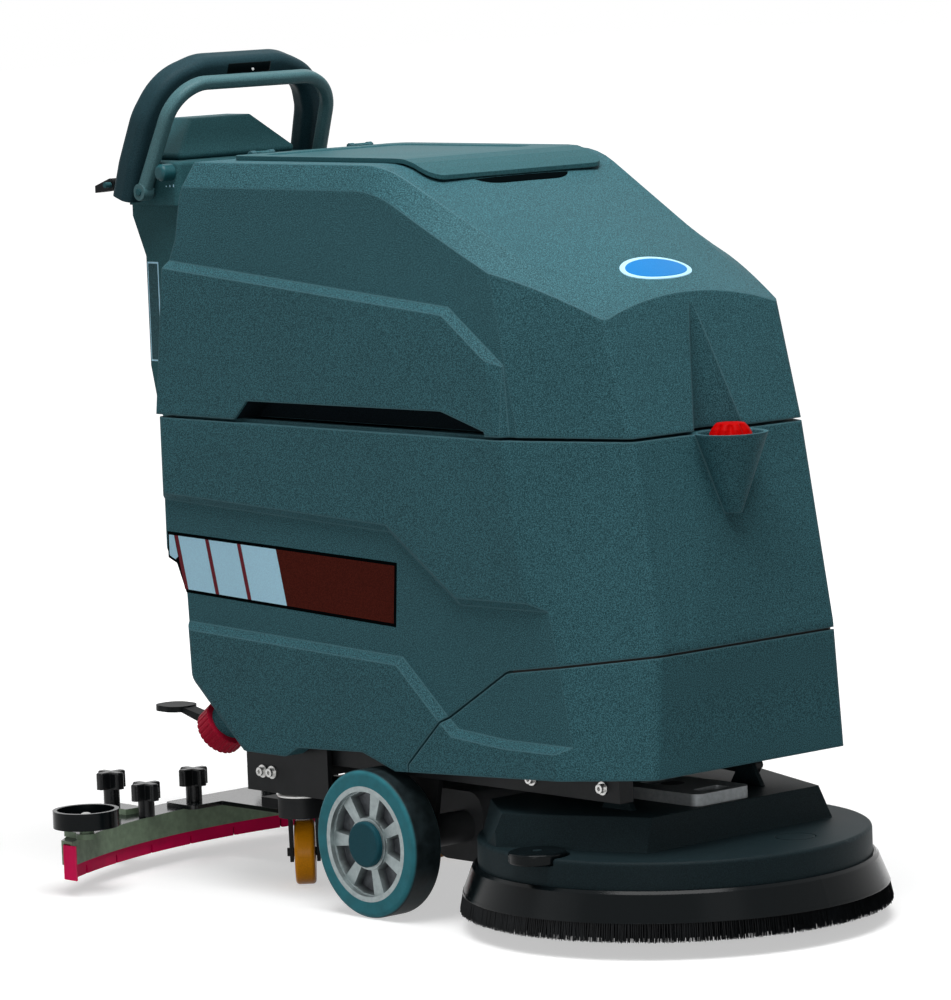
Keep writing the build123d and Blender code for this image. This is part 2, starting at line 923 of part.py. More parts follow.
def rim(hand):
    """Cast rim: outer band, pocketed web and hub with the axle bore."""
    with BuildPart() as piece:
        with BuildSketch(wheel_plane(hand, 0)):
            Circle(rim_radius)
            Circle(rim_radius - rim_lip, mode=Mode.SUBTRACT)
        extrude(amount=wheel_width)
        with BuildSketch(wheel_plane(hand, rim_web_inset)):
            Circle(rim_radius - rim_lip / 2)
        extrude(amount=rim_web)
        with BuildSketch(wheel_plane(hand, rim_web_inset)):
            with PolarLocations(0, rim_pockets):
                Polygon(
                    (rim_hub_radius, -rim_pocket_inner), (rim_hub_radius, rim_pocket_inner),
                    (pocket_reach - rim_lip / 2, rim_pocket_outer / 2), (pocket_reach, 0),
                    (pocket_reach - rim_lip / 2, -rim_pocket_outer / 2), align=None,
                )
        extrude(amount=rim_pocket_depth, taper=rim_pocket_taper, mode=Mode.SUBTRACT)
        with BuildSketch(wheel_plane(hand, rim_hub_inset)):
            Circle(rim_hub_radius)
        extrude(amount=wheel_width - rim_hub_inset)
        with BuildSketch(wheel_plane(hand, rim_hub_inset)):
            Circle(axle_radius + run_fit)
        extrude(amount=wheel_width, mode=Mode.SUBTRACT)
    return piece


def hub_cap(hand):
    with BuildPart() as piece:
        with BuildSketch(wheel_plane(hand, rim_hub_inset)):
            Circle(hub_cap_radius)
        extrude(amount=-hub_cap_height)
        fillet(piece.faces().sort_by(Axis.Y)[0 if hand < 0 else -1].edges(), radius=3.5)
    return piece


for hand, where in ((-1, "right"), (1, "left")):
    save(tyre(hand), f"tyre_{where}")
    save(rim(hand), f"rim_{where}")
    save(hub_cap(hand), f"hub_cap_{where}")

# transaxle: axle tube, stub shafts, gearbox and motor
gear_half = 62
with BuildPart(AXLE) as transaxle:
    with BuildSketch(side(rail_inner_y + 14)):
        with Locations((0, wheel_radius)):
            Circle(22)
    extrude(amount=2 * (rail_inner_y + 14))
    with BuildSketch(side(wheel_outer_y - 6)):
        with Locations((0, wheel_radius)):
            Circle(axle_radius)
    extrude(amount=2 * (wheel_outer_y - 6))
    with BuildSketch(side(gear_half)):
        with Locations((-12, wheel_radius)):
            RectangleRounded(98, 96, 26)
    extrude(amount=2 * gear_half)
    with BuildSketch(cross(-55)):
        with Locations((12, wheel_radius + 4)):
            Circle(44)
    extrude(amount=-130)
    with BuildSketch(cross(-185)):
        with Locations((12, wheel_radius + 4)):
            Circle(34)
    extrude(amount=-14)
save(transaxle, "transaxle")

# chassis weldment
with BuildPart(AXLE) as chassis_frame:
    for hand in (-1, 1):
        rail_end_x = rail_front_x if hand < 0 else rail_front_left_x
        with Locations((rear_block_x, hand * (rail_inner_y + rail_width / 2), rail_top_z)):
            Box(
                rail_end_x - rear_block_x, rail_width, rail_top_z - rail_bottom_z,
                align=(Align.MIN, Align.CENTER, Align.MAX),
            )
        # rear side plate and caster shelf
        with Locations((rear_block_x + rear_block_length / 2, hand * (rear_block_y - plate / 2), rail_top_z)):
            Box(
                rear_block_length, plate, rail_top_z - rear_block_bottom_z,
                align=(Align.CENTER, Align.CENTER, Align.MAX),
            )
        with Locations((rear_block_x + rear_block_length / 2, hand * caster_y, rear_block_bottom_z)):
            Box(
                rear_block_length, 2 * (rear_block_y - caster_y), plate,
                align=(Align.CENTER, Align.CENTER, Align.MIN),
            )
        with Locations((caster_x, hand * caster_y, rear_block_bottom_z)):
            Cylinder(
                caster_king_radius + run_fit, 3 * plate, mode=Mode.SUBTRACT,
            )
        # axle hangers
        with BuildSketch(side(hand * (rail_inner_y - plate / 2) + plate / 2)) as hanger:
            with BuildLine():
                Polyline(
                    (-hanger_half_length - 25, rail_top_z), (hanger_half_length + 15, rail_top_z),
                    (hanger_half_length - 12, wheel_radius - hanger_drop),
                    (-hanger_half_length + 12, wheel_radius - hanger_drop), close=True,
                )
            make_face()
        extrude(amount=plate)
    # rear cross plate and top plate
    with Locations((rear_block_x + plate / 2, 0, rail_top_z)):
        Box(
            plate, 2 * rear_block_y, rail_top_z - rear_block_bottom_z,
            align=(Align.CENTER, Align.CENTER, Align.MAX),
        )
    with Locations((rear_block_x + rear_block_length / 2, 0, rail_top_z)):
        Box(rear_block_length, 2 * rail_inner_y, plate, align=(Align.CENTER, Align.CENTER, Align.MAX))
    # cross tube that carries the deck's lift arms
    with BuildSketch(side(rail_inner_y)):
        with Locations((arm_pivot_x, arm_pivot_z)):
            Circle(arm_tube_radius)
    extrude(amount=2 * rail_inner_y)
    # bearing cheeks for the squeegee arm and the pedal
    for y in (-lift_arm_half - plate - side_play, lift_arm_half + side_play):
        with BuildSketch(side(y + plate)):
            with BuildLine():
                Polyline(
                    (rear_block_x + 2, rail_top_z - 40), (rear_block_x + 2, lift_z - 14),
                    (lift_x - 12, lift_z - 14), (lift_x - 14, lift_z + 14), close=True,
                )
            make_face()
        extrude(amount=plate)
    with BuildSketch(side(lift_arm_half + plate)):
        with Locations((lift_x, lift_z)):
            Circle(lift_pin_radius)
    extrude(amount=2 * (lift_arm_half + plate))
    for y in (pedal_y - pedal_cheek_y, pedal_y + pedal_cheek_y + pedal_cheek):
        with BuildSketch(side(y)):
            with BuildLine():
                Polyline(
                    (rear_block_x + 2, pedal_pivot_z + 22), (rear_block_x + 2, pedal_pivot_z - 22),
                    (pedal_pivot_x - 12, pedal_pivot_z - 12), (pedal_pivot_x - 12, pedal_pivot_z + 12), close=True,
                )
            make_face()
        extrude(amount=pedal_cheek)
    with BuildSketch(side(pedal_y + pedal_cheek_y + pedal_cheek)):
        with Locations((pedal_pivot_x, pedal_pivot_z)):
            Circle(pedal_pin_radius)
    extrude(amount=2 * (pedal_cheek_y + pedal_cheek))
    # the axle tube passes through the hangers
    with BuildSketch(side(rail_inner_y + 1)):
        with Locations((0, wheel_radius)):
            Circle(22)
    extrude(amount=2 * rail_inner_y + 2, mode=Mode.SUBTRACT)
save(chassis_frame, "chassis_frame")

# socket bolts with washers, on the rails and the rear side plates
rail_mid_z = (rail_bottom_z + rail_top_z) / 2
bolt_spots = []
for hand, rail_bolts in ((-1, rail_bolts_right), (1, rail_bolts_left)):
    bolt_spots += [(hand, x, rail_inner_y + rail_width, rail_mid_z) for x in rail_bolts]
    bolt_spots += [(hand, x, rear_block_y, rear_block_bottom_z + block_bolt_rise) for x in block_bolts]
with BuildPart() as chassis_bolts:
    for hand, x, y, z in bolt_spots:
        seat = Plane(origin=(axle_x + x, hand * y, z), x_dir=(1, 0, 0), z_dir=(0, hand, 0))
        with BuildSketch(seat):
            Circle(washer_radius)
        extrude(amount=washer_thick)
        with BuildSketch(seat):
            Circle(bolt_radius)
        extrude(amount=washer_thick + bolt_height)
        with BuildSketch(seat.offset(washer_thick + bolt_height)):
            RegularPolygon(bolt_socket, 6)
        extrude(amount=-bolt_socket, mode=Mode.SUBTRACT)
save(chassis_bolts, "chassis_bolts")


# casters
def caster_plane(hand, turn, height):
    """Horizontal plane over a caster's kingpin, turned so that the wheel trails along local -x."""
    return Plane(
        origin=(axle_x + caster_x, hand * caster_y, height),
        x_dir=(cos(radians(turn)), sin(radians(turn)), 0), z_dir=(0, 0, 1),
    )


def caster_side(hand, turn, offset_y):
    """Upright plane along a caster's wheel."""
    flat = caster_plane(hand, turn, 0)
    return Plane(origin=flat.origin + flat.y_dir * offset_y, x_dir=flat.x_dir, z_dir=-flat.y_dir)


crown_z = 2 * caster_radius + 10
leg_y = caster_width / 2 + 2


def caster_fork(hand, turn):
    with BuildPart() as piece:
        with BuildSketch(caster_plane(hand, turn, crown_z)):
            Circle(caster_crown_radius)
            with Locations((-caster_trail / 2, 0)):
                RectangleRounded(caster_trail + 50, 2 * (leg_y + caster_leg), 8)
        extrude(amount=10)
        with BuildSketch(caster_plane(hand, turn, crown_z + 10)):
            Circle(caster_crown_radius)
        extrude(amount=rear_block_bottom_z - rest_gap - crown_z - 10)
        with BuildSketch(caster_plane(hand, turn, rear_block_bottom_z - rest_gap)):
            Circle(caster_king_radius)
        extrude(amount=plate + rest_gap + 12)
        with BuildSketch(caster_plane(hand, turn, rear_block_bottom_z + plate + rest_gap)):
            RegularPolygon(14, 6)
        extrude(amount=8)
        for y in (leg_y + caster_leg, -leg_y):
            with BuildSketch(caster_side(hand, turn, y)):
                with BuildLine():
                    Polyline(
                        (-caster_trail - 14, caster_radius - 12), (-caster_trail + 14, caster_radius - 12),
                        (14, crown_z), (14, crown_z + 8), (-caster_trail - 20, crown_z + 8),
                        (-caster_trail - 20, crown_z - 20), close=True,
                    )
                make_face()
            extrude(amount=caster_leg)
        with BuildSketch(caster_side(hand, turn, leg_y + caster_leg + 4)):
            with Locations((-caster_trail, caster_radius)):
                Circle(caster_axle_radius)
        extrude(amount=2 * (leg_y + caster_leg + 4))
    return piece


def caster_wheel(hand, turn):
    with BuildPart() as piece:
        with BuildSketch(caster_side(hand, turn, caster_width / 2)):
            with Locations((-caster_trail, caster_radius)):
                Circle(caster_radius)
                Circle(caster_axle_radius + run_fit, mode=Mode.SUBTRACT)
        extrude(amount=caster_width)
        fillet(piece.edges().filter_by(GeomType.CIRCLE).group_by(SortBy.RADIUS)[-1], radius=5)
    return piece


for hand, where, turn in ((-1, "right", caster_turn_right), (1, "left", caster_turn_left)):
    save(caster_fork(hand, turn), f"caster_fork_{where}")
    save(caster_wheel(hand, turn), f"caster_wheel_{where}")

# batteries standing in the bay, with terminal posts
with BuildPart(AXLE) as batteries:
    for hand in (-1, 1):
        with Locations((battery_x, hand * (battery_width / 2 + 1), bay_floor_z)):
            Box(
                battery_length, battery_width, battery_height, align=(Align.CENTER, Align.CENTER, Align.MIN)
            )
        for end in (-1, 1):
            with Locations((
                battery_x + end * (battery_length / 2 - 30), hand * (battery_width / 2 + 1),
                bay_floor_z + battery_height,
            )):
                Cylinder(9, 16, align=(Align.CENTER, Align.CENTER, Align.MIN))
save(batteries, "batteries")

# rear column: hollow housing behind the body, open under the yoke
column_outline = [
    (body_rear_x, lower_top_z), (body_rear_x, column_bottom_z), (column_toe_x, column_bottom_z),
    (column_waist_x, part_line_z), (column_rear_x, column_knee_z), (column_rear_x, column_flare_low_z),
    (column_flare_x, column_flare_z), (column_flare_x, column_top_z),
    (column_front_x, column_top_z), (column_front_x, lower_top_z),
]
with BuildPart(AXLE) as rear_column:
    with BuildSketch(side(column_half)) as column_sketch:
        with BuildLine():
            Polyline(*column_outline, close=True)
        make_face()
    extrude(amount=2 * column_half)
    with BuildSketch(side(column_half - column_wall)):
        with BuildLine():
            Polyline(*column_outline, close=True)
        make_face()
        offset(amount=-column_wall, kind=Kind.INTERSECTION)
        with Locations(((column_front_x + column_rear_x) / 2, column_top_z)):
            Rectangle(column_front_x - column_rear_x - 2 * column_wall, 4 * column_wall)
    extrude(amount=2 * (column_half - column_wall), mode=Mode.SUBTRACT)
save(rear_column, "rear_column")

# yoke on the column, with the bail's pins and the lever's lug
yoke_half = hoop_y - hoop_width / 2 - rest_gap
bail_pin_end = bail_y + bail_width / 2 + 2
lever_lug = 18
with BuildPart(AXLE) as handle_yoke:
    with BuildSketch(plan(column_top_z)):
        with Locations(((yoke_front_x + yoke_rear_x) / 2, 0)):
            RectangleRounded(yoke_front_x - yoke_rear_x, 2 * yoke_half, 10)
    extrude(amount=yoke_top_z - column_top_z)
    fillet(handle_yoke.faces().sort_by(Axis.Z)[-1].edges(), radius=5)
    with BuildSketch(side(bail_pin_end)):
        with Locations((bail_bottom_x, bail_bottom_z)):
            Circle(bail_pin_radius)
    extrude(amount=2 * bail_pin_end)
    with Locations((yoke_rear_x + 2, lever_y + lever_width / 2 + side_play, lever_z)):
        Box(lever_lug + 2, lever_lug, lever_lug, align=(Align.MAX, Align.MIN, Align.CENTER))
    with BuildSketch(side(lever_y + lever_width)):
        with Locations((lever_x, lever_z)):
            Circle(lever_pin_radius)
    extrude(amount=2 * lever_width)
    with BuildSketch(side(-yoke_half)):
        with Locations((flow_x, flow_z)):
            Circle(flow_stem_radius + run_fit)
    extrude(amount=-flow_stem, mode=Mode.SUBTRACT)
save(handle_yoke, "handle_yoke")

# lever that lowers and raises the squeegee
with BuildPart(AXLE) as squeegee_lever:
    with BuildSketch(side(lever_y + lever_width / 2)):
        with Locations((lever_x, lever_z)):
            Circle(lever_boss_radius)
        with BuildLine():
            Polyline(
                (lever_x - 4, lever_z + lever_boss_radius - 1), (lever_x - lever_length, lever_z - 2),
                (lever_x - lever_length, lever_z - 12), (lever_x + 2, lever_z - lever_boss_radius + 1), close=True,
            )
        make_face()
        with Locations((lever_x, lever_z)):
            Circle(lever_pin_radius + run_fit, mode=Mode.SUBTRACT)
    extrude(amount=lever_width)
save(squeegee_lever, "squeegee_lever")

# knob that sets the water flow, on the yoke's right face
with BuildPart(AXLE) as flow_knob:
    with BuildSketch(side(-yoke_half - rest_gap)):
        with Locations((flow_x, flow_z)):
            Circle(flow_radius)
    extrude(amount=flow_height)
    fillet(flow_knob.faces().sort_by(Axis.Y)[0].edges(), radius=flow_radius / 2)
    with BuildSketch(side(-yoke_half - rest_gap)):
        with Locations((flow_x, flow_z)):
            Circle(flow_stem_radius)
    extrude(amount=-flow_stem + 1)
save(flow_knob, "flow_knob")

# console on the yoke, with the control panel on its rear face
panel_slope = (console_half - console_top_half) / (console_top_z - yoke_top_z)
control_z = (yoke_top_z + console_top_z) / 2
controls = {"vacuum_button": -control_pitch, "key_switch": 0, "brush_button": control_pitch}


def panel_outline(inset):
    """Trapezoid of the console's rear face, drawn in from its edges."""
    low_z = yoke_top_z + inset
    high_z = console_top_z - inset
    low_half = console_half - panel_slope * inset - 1.5 * inset
    high_half = console_top_half + panel_slope * inset - 1.5 * inset
    with BuildSketch(cross(console_rear_x)) as outline:
        with BuildLine():
            Polyline(
                (-low_half, low_z), (low_half, low_z), (high_half, high_z), (-high_half, high_z), close=True
            )
        make_face()
    return outline.sketch


def control_bores(depth):
    """Round bores for the buttons and the key, from the panel's rear face forward."""
    with BuildPart() as bores:
        with BuildSketch(cross(console_rear_x - panel_thick)):
            for y in controls.values():
                with Locations((y, control_z)):
                    Circle(button_radius + run_fit)
        extrude(amount=depth)
    return bores.part


with BuildPart() as console_housing:
    with BuildSketch(plan(yoke_top_z)):
        with Locations(((console_front_x + console_rear_x) / 2, 0)):
            Rectangle(console_front_x - console_rear_x, 2 * console_half)
    with BuildSketch(plan(console_top_z)):
        with Locations(((console_top_front_x + console_rear_x) / 2, 0)):
            Rectangle(console_top_front_x - console_rear_x, 2 * console_top_half)
    loft()
    fillet(console_housing.edges().filter_by(lambda e: e.center().X > axle_x + console_rear_x + 5), radius=6)
    add(control_bores(panel_thick + button_depth), mode=Mode.SUBTRACT)
save(console_housing, "console_housing")

with BuildPart() as control_panel:
    extrude(panel_outline(panel_inset), amount=-panel_thick)
    add(control_bores(panel_thick), mode=Mode.SUBTRACT)
save(control_panel, "control_panel")

button_back = button_depth - button_travel - 2
for name, y in controls.items():
    with BuildPart() as control:
        with BuildSketch(cross(console_rear_x - panel_thick - button_travel - 2)):
            with Locations((y, control_z)):
                Circle(button_radius)
        extrude(amount=panel_thick + button_travel + 2 + button_back)
        if name == "key_switch":
            with BuildSketch(cross(console_rear_x - panel_thick - button_travel - 2)):
                with Locations((y, control_z)):
                    RectangleRounded(4, 1.6 * button_radius, 1.5)
            extrude(amount=-key_reach)
    save(control, name)


# handle hoop and bail lever
def leaning_plane(x, z, lean):
    """Plane across the machine at x, z, tilted forward by lean degrees: local x is left, local y is up."""
    return Plane(
        origin=(axle_x + x, 0, z), x_dir=(0, 1, 0), z_dir=(cos(radians(lean)), 0, -sin(radians(lean)))
    )


def loop_path(plane, points, radii):
    """Filleted loop through the given right-hand points and their mirror images."""
    left = [(-y, s) for y, s in reversed(points)]
    with BuildLine(plane) as path:
        FilletPolyline(*points, *left, radius=[*radii, *reversed(radii)])
    return path.line


def loop_bar(plane, path, start_y, width, depth, corner):
    """Bar swept along a loop, with a rounded section."""
    section_plane = Plane(origin=plane.from_local_coords((start_y, 0, 0)), x_dir=plane.x_dir, z_dir=plane.y_dir)
    with BuildPart() as bar:
        with BuildSketch(section_plane) as section:
            RectangleRounded(width, depth, corner)
        sweep(section.sketch, path=path)
    return bar.part


hoop_plane = leaning_plane(hoop_bottom_x, hoop_bottom_z, hoop_lean)
hoop_points = [
    (-hoop_y, 0), (-hoop_y, hoop_knee), (-hoop_shoulder_y, hoop_shoulder), (-hoop_bend_y, hoop_bend),
    (-hoop_top_half, hoop_height),
]
with BuildPart() as handle_hoop:
    add(loop_bar(
        hoop_plane, loop_path(hoop_plane, hoop_points, 4 * [hoop_round]),
        -hoop_y, hoop_width, hoop_depth, hoop_corner,
    ))
save(handle_hoop, "handle_hoop")

bail_plane = leaning_plane(bail_bottom_x, bail_bottom_z, bail_lean)
bail_points = [(-bail_y, 0), (-bail_top_half, bail_height)]
with BuildPart() as bail_lever:
    add(loop_bar(
        bail_plane, loop_path(bail_plane, bail_points, [bail_round]),
        -bail_y, bail_width, bail_depth, bail_corner,
    ))
    for hand in (-1, 1):
        with BuildSketch(side(hand * bail_y + bail_width / 2)):
            with Locations((bail_bottom_x, bail_bottom_z)):
                Circle(bail_boss_radius)
        extrude(amount=bail_width)
    with BuildSketch(side(bail_pin_end)):
        with Locations((bail_bottom_x, bail_bottom_z)):
            Circle(bail_pin_radius + run_fit)
    extrude(amount=2 * bail_pin_end, mode=Mode.SUBTRACT)
save(bail_lever, "bail_lever")

# foot pedal that raises the deck
pedal_arm = 2 * (pedal_cheek_y - side_play)
with BuildPart(AXLE) as foot_pedal:
    with BuildSketch(side(pedal_y + pedal_arm / 2)):
        with Locations((pedal_pivot_x, pedal_pivot_z)):
            Circle(2 * pedal_pin_radius)
        with BuildLine():
            Polyline(
                (pedal_pivot_x, pedal_pivot_z + pedal_half), (pedal_tip_x + pedal_width, pedal_tip_z),
                (pedal_tip_x + pedal_width, pedal_tip_z - pedal_pad),
                (pedal_pivot_x, pedal_pivot_z - pedal_half), close=True,
            )
        make_face()
    extrude(amount=pedal_arm)
    with BuildSketch(plan(pedal_tip_z)):
        with Locations((pedal_tip_x + pedal_width / 2 + 4, pedal_y)):
            RectangleRounded(pedal_width + 8, pedal_width, 0.45 * pedal_width)
    extrude(amount=-pedal_pad)
    with BuildSketch(side(pedal_y + pedal_arm)):
        with Locations((pedal_pivot_x, pedal_pivot_z)):
            Circle(pedal_pin_radius + run_fit)
    extrude(amount=2 * pedal_arm, mode=Mode.SUBTRACT)
save(foot_pedal, "foot_pedal")


# scrub deck
def tower_block(inset, base_z, top_z):
    """Faceted tower on the drum, or its inside when inset is given."""
    with BuildPart() as block:
        for z, corners in ((base_z, tower_base), (top_z, tower_top)):
            with BuildSketch(DECK.offset(z)):
                with BuildLine():
                    left = [(x, -y) for x, y in corners]
                    left[0] = (left[0][0], left[0][1] + tower_spread)
                    Polyline(*corners, *reversed(left), close=True)
                make_face()
                if inset:
                    offset(amount=-inset, kind=Kind.INTERSECTION)
        loft(ruled=True)
        with BuildSketch(DECK.offset(base_z)):
            Circle(drum_radius - tower_setback - inset)
        extrude(amount=top_z - base_z, mode=Mode.INTERSECT)
    return block.part


shaft_bore = motor_shaft_radius + 4
roller_y = -deck_roller_reach
roller_floor_z = drum_top_z - deck_roller_sink
with BuildPart() as deck_housing:
    with BuildSketch(DECK.offset(drum_bottom_z)):
        Circle(drum_radius)
    extrude(amount=drum_top_z - drum_bottom_z)
    fillet(deck_housing.faces().sort_by(Axis.Z)[-1].edges(), radius=5)
    add(tower_block(0, drum_top_z - deck_wall, tower_top_z))
    with BuildSketch(DECK.offset(drum_bottom_z)):
        Circle(drum_radius - deck_wall)
    extrude(amount=drum_top_z - deck_wall - drum_bottom_z, mode=Mode.SUBTRACT)
    add(tower_block(deck_wall, drum_top_z - deck_wall, tower_top_z - deck_wall), mode=Mode.SUBTRACT)
    # pocket and stud of the wall roller
    with BuildSketch(DECK.offset(roller_floor_z - deck_wall)):
        with Locations((0, roller_y)):
            Circle(deck_roller_radius + 10)
        Circle(drum_radius - deck_wall / 2, mode=Mode.INTERSECT)
    extrude(amount=drum_top_z - 1 - roller_floor_z + deck_wall)
    with BuildSketch(DECK.offset(roller_floor_z)):
        with Locations((0, roller_y)):
            Circle(deck_roller_radius + 4)
    extrude(amount=tower_top_z, mode=Mode.SUBTRACT)
    with BuildSketch(DECK.offset(roller_floor_z - 1)):
        with Locations((0, roller_y)):
            Circle(arm_pin_radius)
    extrude(amount=deck_roller_height + 2)
    # round cover on the drum's top
    with BuildSketch(DECK.offset(drum_top_z)):
        with Locations(drum_cover):
            Circle(drum_cover_radius)
            Circle(drum_cover_radius - drum_cover_groove, mode=Mode.SUBTRACT)
    extrude(amount=-drum_cover_groove, mode=Mode.SUBTRACT)
    # bore for the brush shaft
    with BuildSketch(DECK.offset(drum_bottom_z)):
        Circle(shaft_bore)
    extrude(amount=tower_top_z, mode=Mode.SUBTRACT)
    # ears for the lift arms
    for hand in (-1, 1):
        with BuildSketch(side(hand * ear_y + ear_thick / 2)):
            with Locations((ear_x, ear_z)):
                Circle(2 * arm_pin_radius)
            with BuildLine():
                Polyline(
                    (ear_x - 30, tower_top_z - 2), (ear_x + 30, tower_top_z - 2),
                    (ear_x + 11, ear_z + 5), (ear_x - 11, ear_z + 5), close=True,
                )
            make_face()
        extrude(amount=ear_thick)
        with BuildSketch(side(hand * (ear_y + arm_reach_y) / 2 + (arm_reach_y - ear_y) / 2)):
            with Locations((ear_x, ear_z)):
                Circle(arm_pin_radius)
        extrude(amount=arm_reach_y - ear_y)
save(deck_housing, "deck_housing")

with BuildPart(DECK) as deck_roller:
    with BuildSketch(DECK.offset(roller_floor_z + rest_gap)):
        with Locations((0, roller_y)):
            Circle(deck_roller_radius)
    extrude(amount=deck_roller_height)
    fillet(deck_roller.edges(), radius=3)
    with BuildSketch(DECK.offset(roller_floor_z)):
        with Locations((0, roller_y)):
            Circle(arm_pin_radius + run_fit)
    extrude(amount=2 * deck_roller_height, mode=Mode.SUBTRACT)
save(deck_roller, "deck_roller")

# glossy ring under the drum
with BuildPart(DECK) as deck_ring:
    with BuildSketch(Plane(origin=(axle_x + deck_x, 0, 0), x_dir=(1, 0, 0), z_dir=(0, -1, 0))):
        with BuildLine():
            Polyline(
                (ring_radius - ring_wall, ring_bottom_z), (ring_radius, ring_bottom_z),
                (ring_radius - ring_flare, ring_top_z - ring_lip), (ring_radius - ring_flare - ring_lip, ring_top_z),
                (drum_radius + 1, ring_top_z), (drum_radius + 1, drum_bottom_z),
                (drum_radius - ring_wall, drum_bottom_z), (drum_radius - ring_wall, drum_bottom_z - ring_wall),
                (ring_radius - ring_flare - ring_lip, drum_bottom_z - ring_wall),
                (ring_radius - ring_wall, ring_bottom_z + 3 * ring_lip), close=True,
            )
        make_face()
    revolve(axis=Axis((axle_x + deck_x, 0, 0), (0, 0, 1)))
save(deck_ring, "deck_ring")


def strand_ring(radius_top, radius_bottom, z_top, z_bottom, count, width, phase):
    """Four-sided strands in a ring, each from the backing down to its tip."""
    strands = []
    for i in range(count):
        turn = (i + phase) * 360 / count
        with BuildPart() as one:
            for radius, z in ((radius_top, z_top), (radius_bottom, z_bottom)):
                at = Plane(
                    origin=(
                        axle_x + deck_x + radius * cos(radians(turn)), radius * sin(radians(turn)), z,
                    ),
                    x_dir=(cos(radians(turn)), sin(radians(turn)), 0), z_dir=(0, 0, 1),
                )
                with BuildSketch(at):
                    Rectangle(width, width)
            loft(ruled=True)
        strands.append(one.part)
    return strands


def backing_ring(inner, outer, bottom_z, top_z):
    with BuildPart() as ring:
        with BuildSketch(DECK.offset(bottom_z)):
            Circle(outer)
            Circle(inner, mode=Mode.SUBTRACT)
        extrude(amount=top_z - bottom_z)
    return ring.part


# skirt bristles under the ring: the outer row flares out to the skirt's radius
backing_outer = ring_radius - ring_wall - backing_gap
backing_inner = backing_outer - backing_width
skirt_strands = []
for row in range(strand_rows):
    top_radius = backing_outer - (row + foot_inset) * backing_width / strand_rows
    tip_radius = skirt_radius - (2 * row + 0.5) * strand
    skirt_strands += strand_ring(
        top_radius, tip_radius, ring_bottom_z + 4, skirt_bottom, strands_per_row, strand, row / 2
    )
with BuildPart() as skirt_bristles:
    add(backing_ring(backing_inner, backing_outer, ring_bottom_z + 3, ring_bottom_z + 11))
    add(skirt_strands)
save(skirt_bristles, "skirt_bristles")

# brush: driven plate and its bristles
with BuildPart(DECK) as brush_plate:
    with BuildSketch(DECK.offset(brush_plate_z)):
        Circle(brush_radius - 5)
    extrude(amount=brush_plate_thick)
    with BuildSketch(DECK.offset(brush_plate_z + brush_plate_thick)):
        Circle(3 * motor_shaft_radius)
    extrude(amount=brush_hub)
    with BuildSketch(DECK.offset(brush_plate_z)):
        Circle(motor_shaft_radius + run_fit)
    extrude(amount=brush_plate_thick + brush_hub, mode=Mode.SUBTRACT)
save(brush_plate, "brush_plate")

tuft_strands = []
for ring in range(tuft_rings):
    tuft_radius = brush_radius - tuft - ring * tuft_pitch
    tuft_strands += strand_ring(
        tuft_radius - 2, tuft_radius, brush_plate_z - 2, brush_tip_z, tufts_per_ring, tuft, ring / 2
    )
with BuildPart() as brush_bristles:
    add(backing_ring(
        brush_radius - 2 * tuft - tuft_rings * tuft_pitch, brush_radius - 5, brush_plate_z - 3, brush_plate_z
    ))
    add(tuft_strands)
save(brush_bristles, "brush_bristles")

# cast motor plate on the tower, with a window each side of the motor's boss; the motor hangs inside
with BuildPart(DECK) as motor_plate:
    with BuildSketch(DECK.offset(tower_top_z)):
        with Locations((motor_plate_x, 0)):
            RectangleRounded(motor_plate_length, motor_plate_width, 14)
        for end in (-1, 1):
            with Locations((motor_plate_x + end * motor_plate_length / 3, 0)):
                RectangleRounded(motor_plate_length / 6, motor_window, 6, mode=Mode.SUBTRACT)
        Circle(shaft_bore, mode=Mode.SUBTRACT)
    extrude(amount=motor_plate_thick)
save(motor_plate, "motor_plate")

roof_z = tower_top_z - deck_wall
shaft_bottom_z = brush_plate_z + 2
with BuildPart(DECK) as brush_motor:
    with BuildSketch(DECK.offset(motor_bottom_z)):
        Circle(motor_radius)
    extrude(amount=roof_z - motor_bottom_z)
    with BuildSketch(DECK.offset(roof_z)):
        Circle(shaft_bore - rest_gap)
    extrude(amount=deck_wall + motor_plate_thick)
    with BuildSketch(DECK.offset(shaft_bottom_z)):
        Circle(motor_shaft_radius)
    extrude(amount=motor_bottom_z - shaft_bottom_z)
save(brush_motor, "brush_motor")

# lift arms: two bars on one sleeve that turns on the chassis tube
arm_inner_y = ear_y + ear_thick / 2 + side_play
with BuildPart(AXLE) as lift_arms:
    with BuildSketch(side(arm_inner_y + arm_thick)):
        with Locations((arm_pivot_x, arm_pivot_z)):
            Circle(arm_sleeve_radius)
    extrude(amount=2 * (arm_inner_y + arm_thick))
    for hand in (-1, 1):
        with BuildSketch(side(hand * (arm_inner_y + arm_thick / 2) + arm_thick / 2)):
            with Locations((ear_x, ear_z)):
                Circle(2 * arm_pin_radius)
            with BuildLine():
                Polyline(
                    (arm_pivot_x, arm_pivot_z + 13), (ear_x, ear_z + 11), (ear_x, ear_z - 11),
                    (arm_pivot_x, arm_pivot_z - 13), close=True,
                )
            make_face()
        extrude(amount=arm_thick)
    with BuildSketch(side(arm_inner_y + 2 * arm_thick)):
        with Locations((ear_x, ear_z)):
            Circle(arm_pin_radius + run_fit)
        with Locations((arm_pivot_x, arm_pivot_z)):
            Circle(arm_tube_radius + run_fit)
    extrude(amount=2 * (arm_inner_y + 2 * arm_thick), mode=Mode.SUBTRACT)
save(lift_arms, "lift_arms")

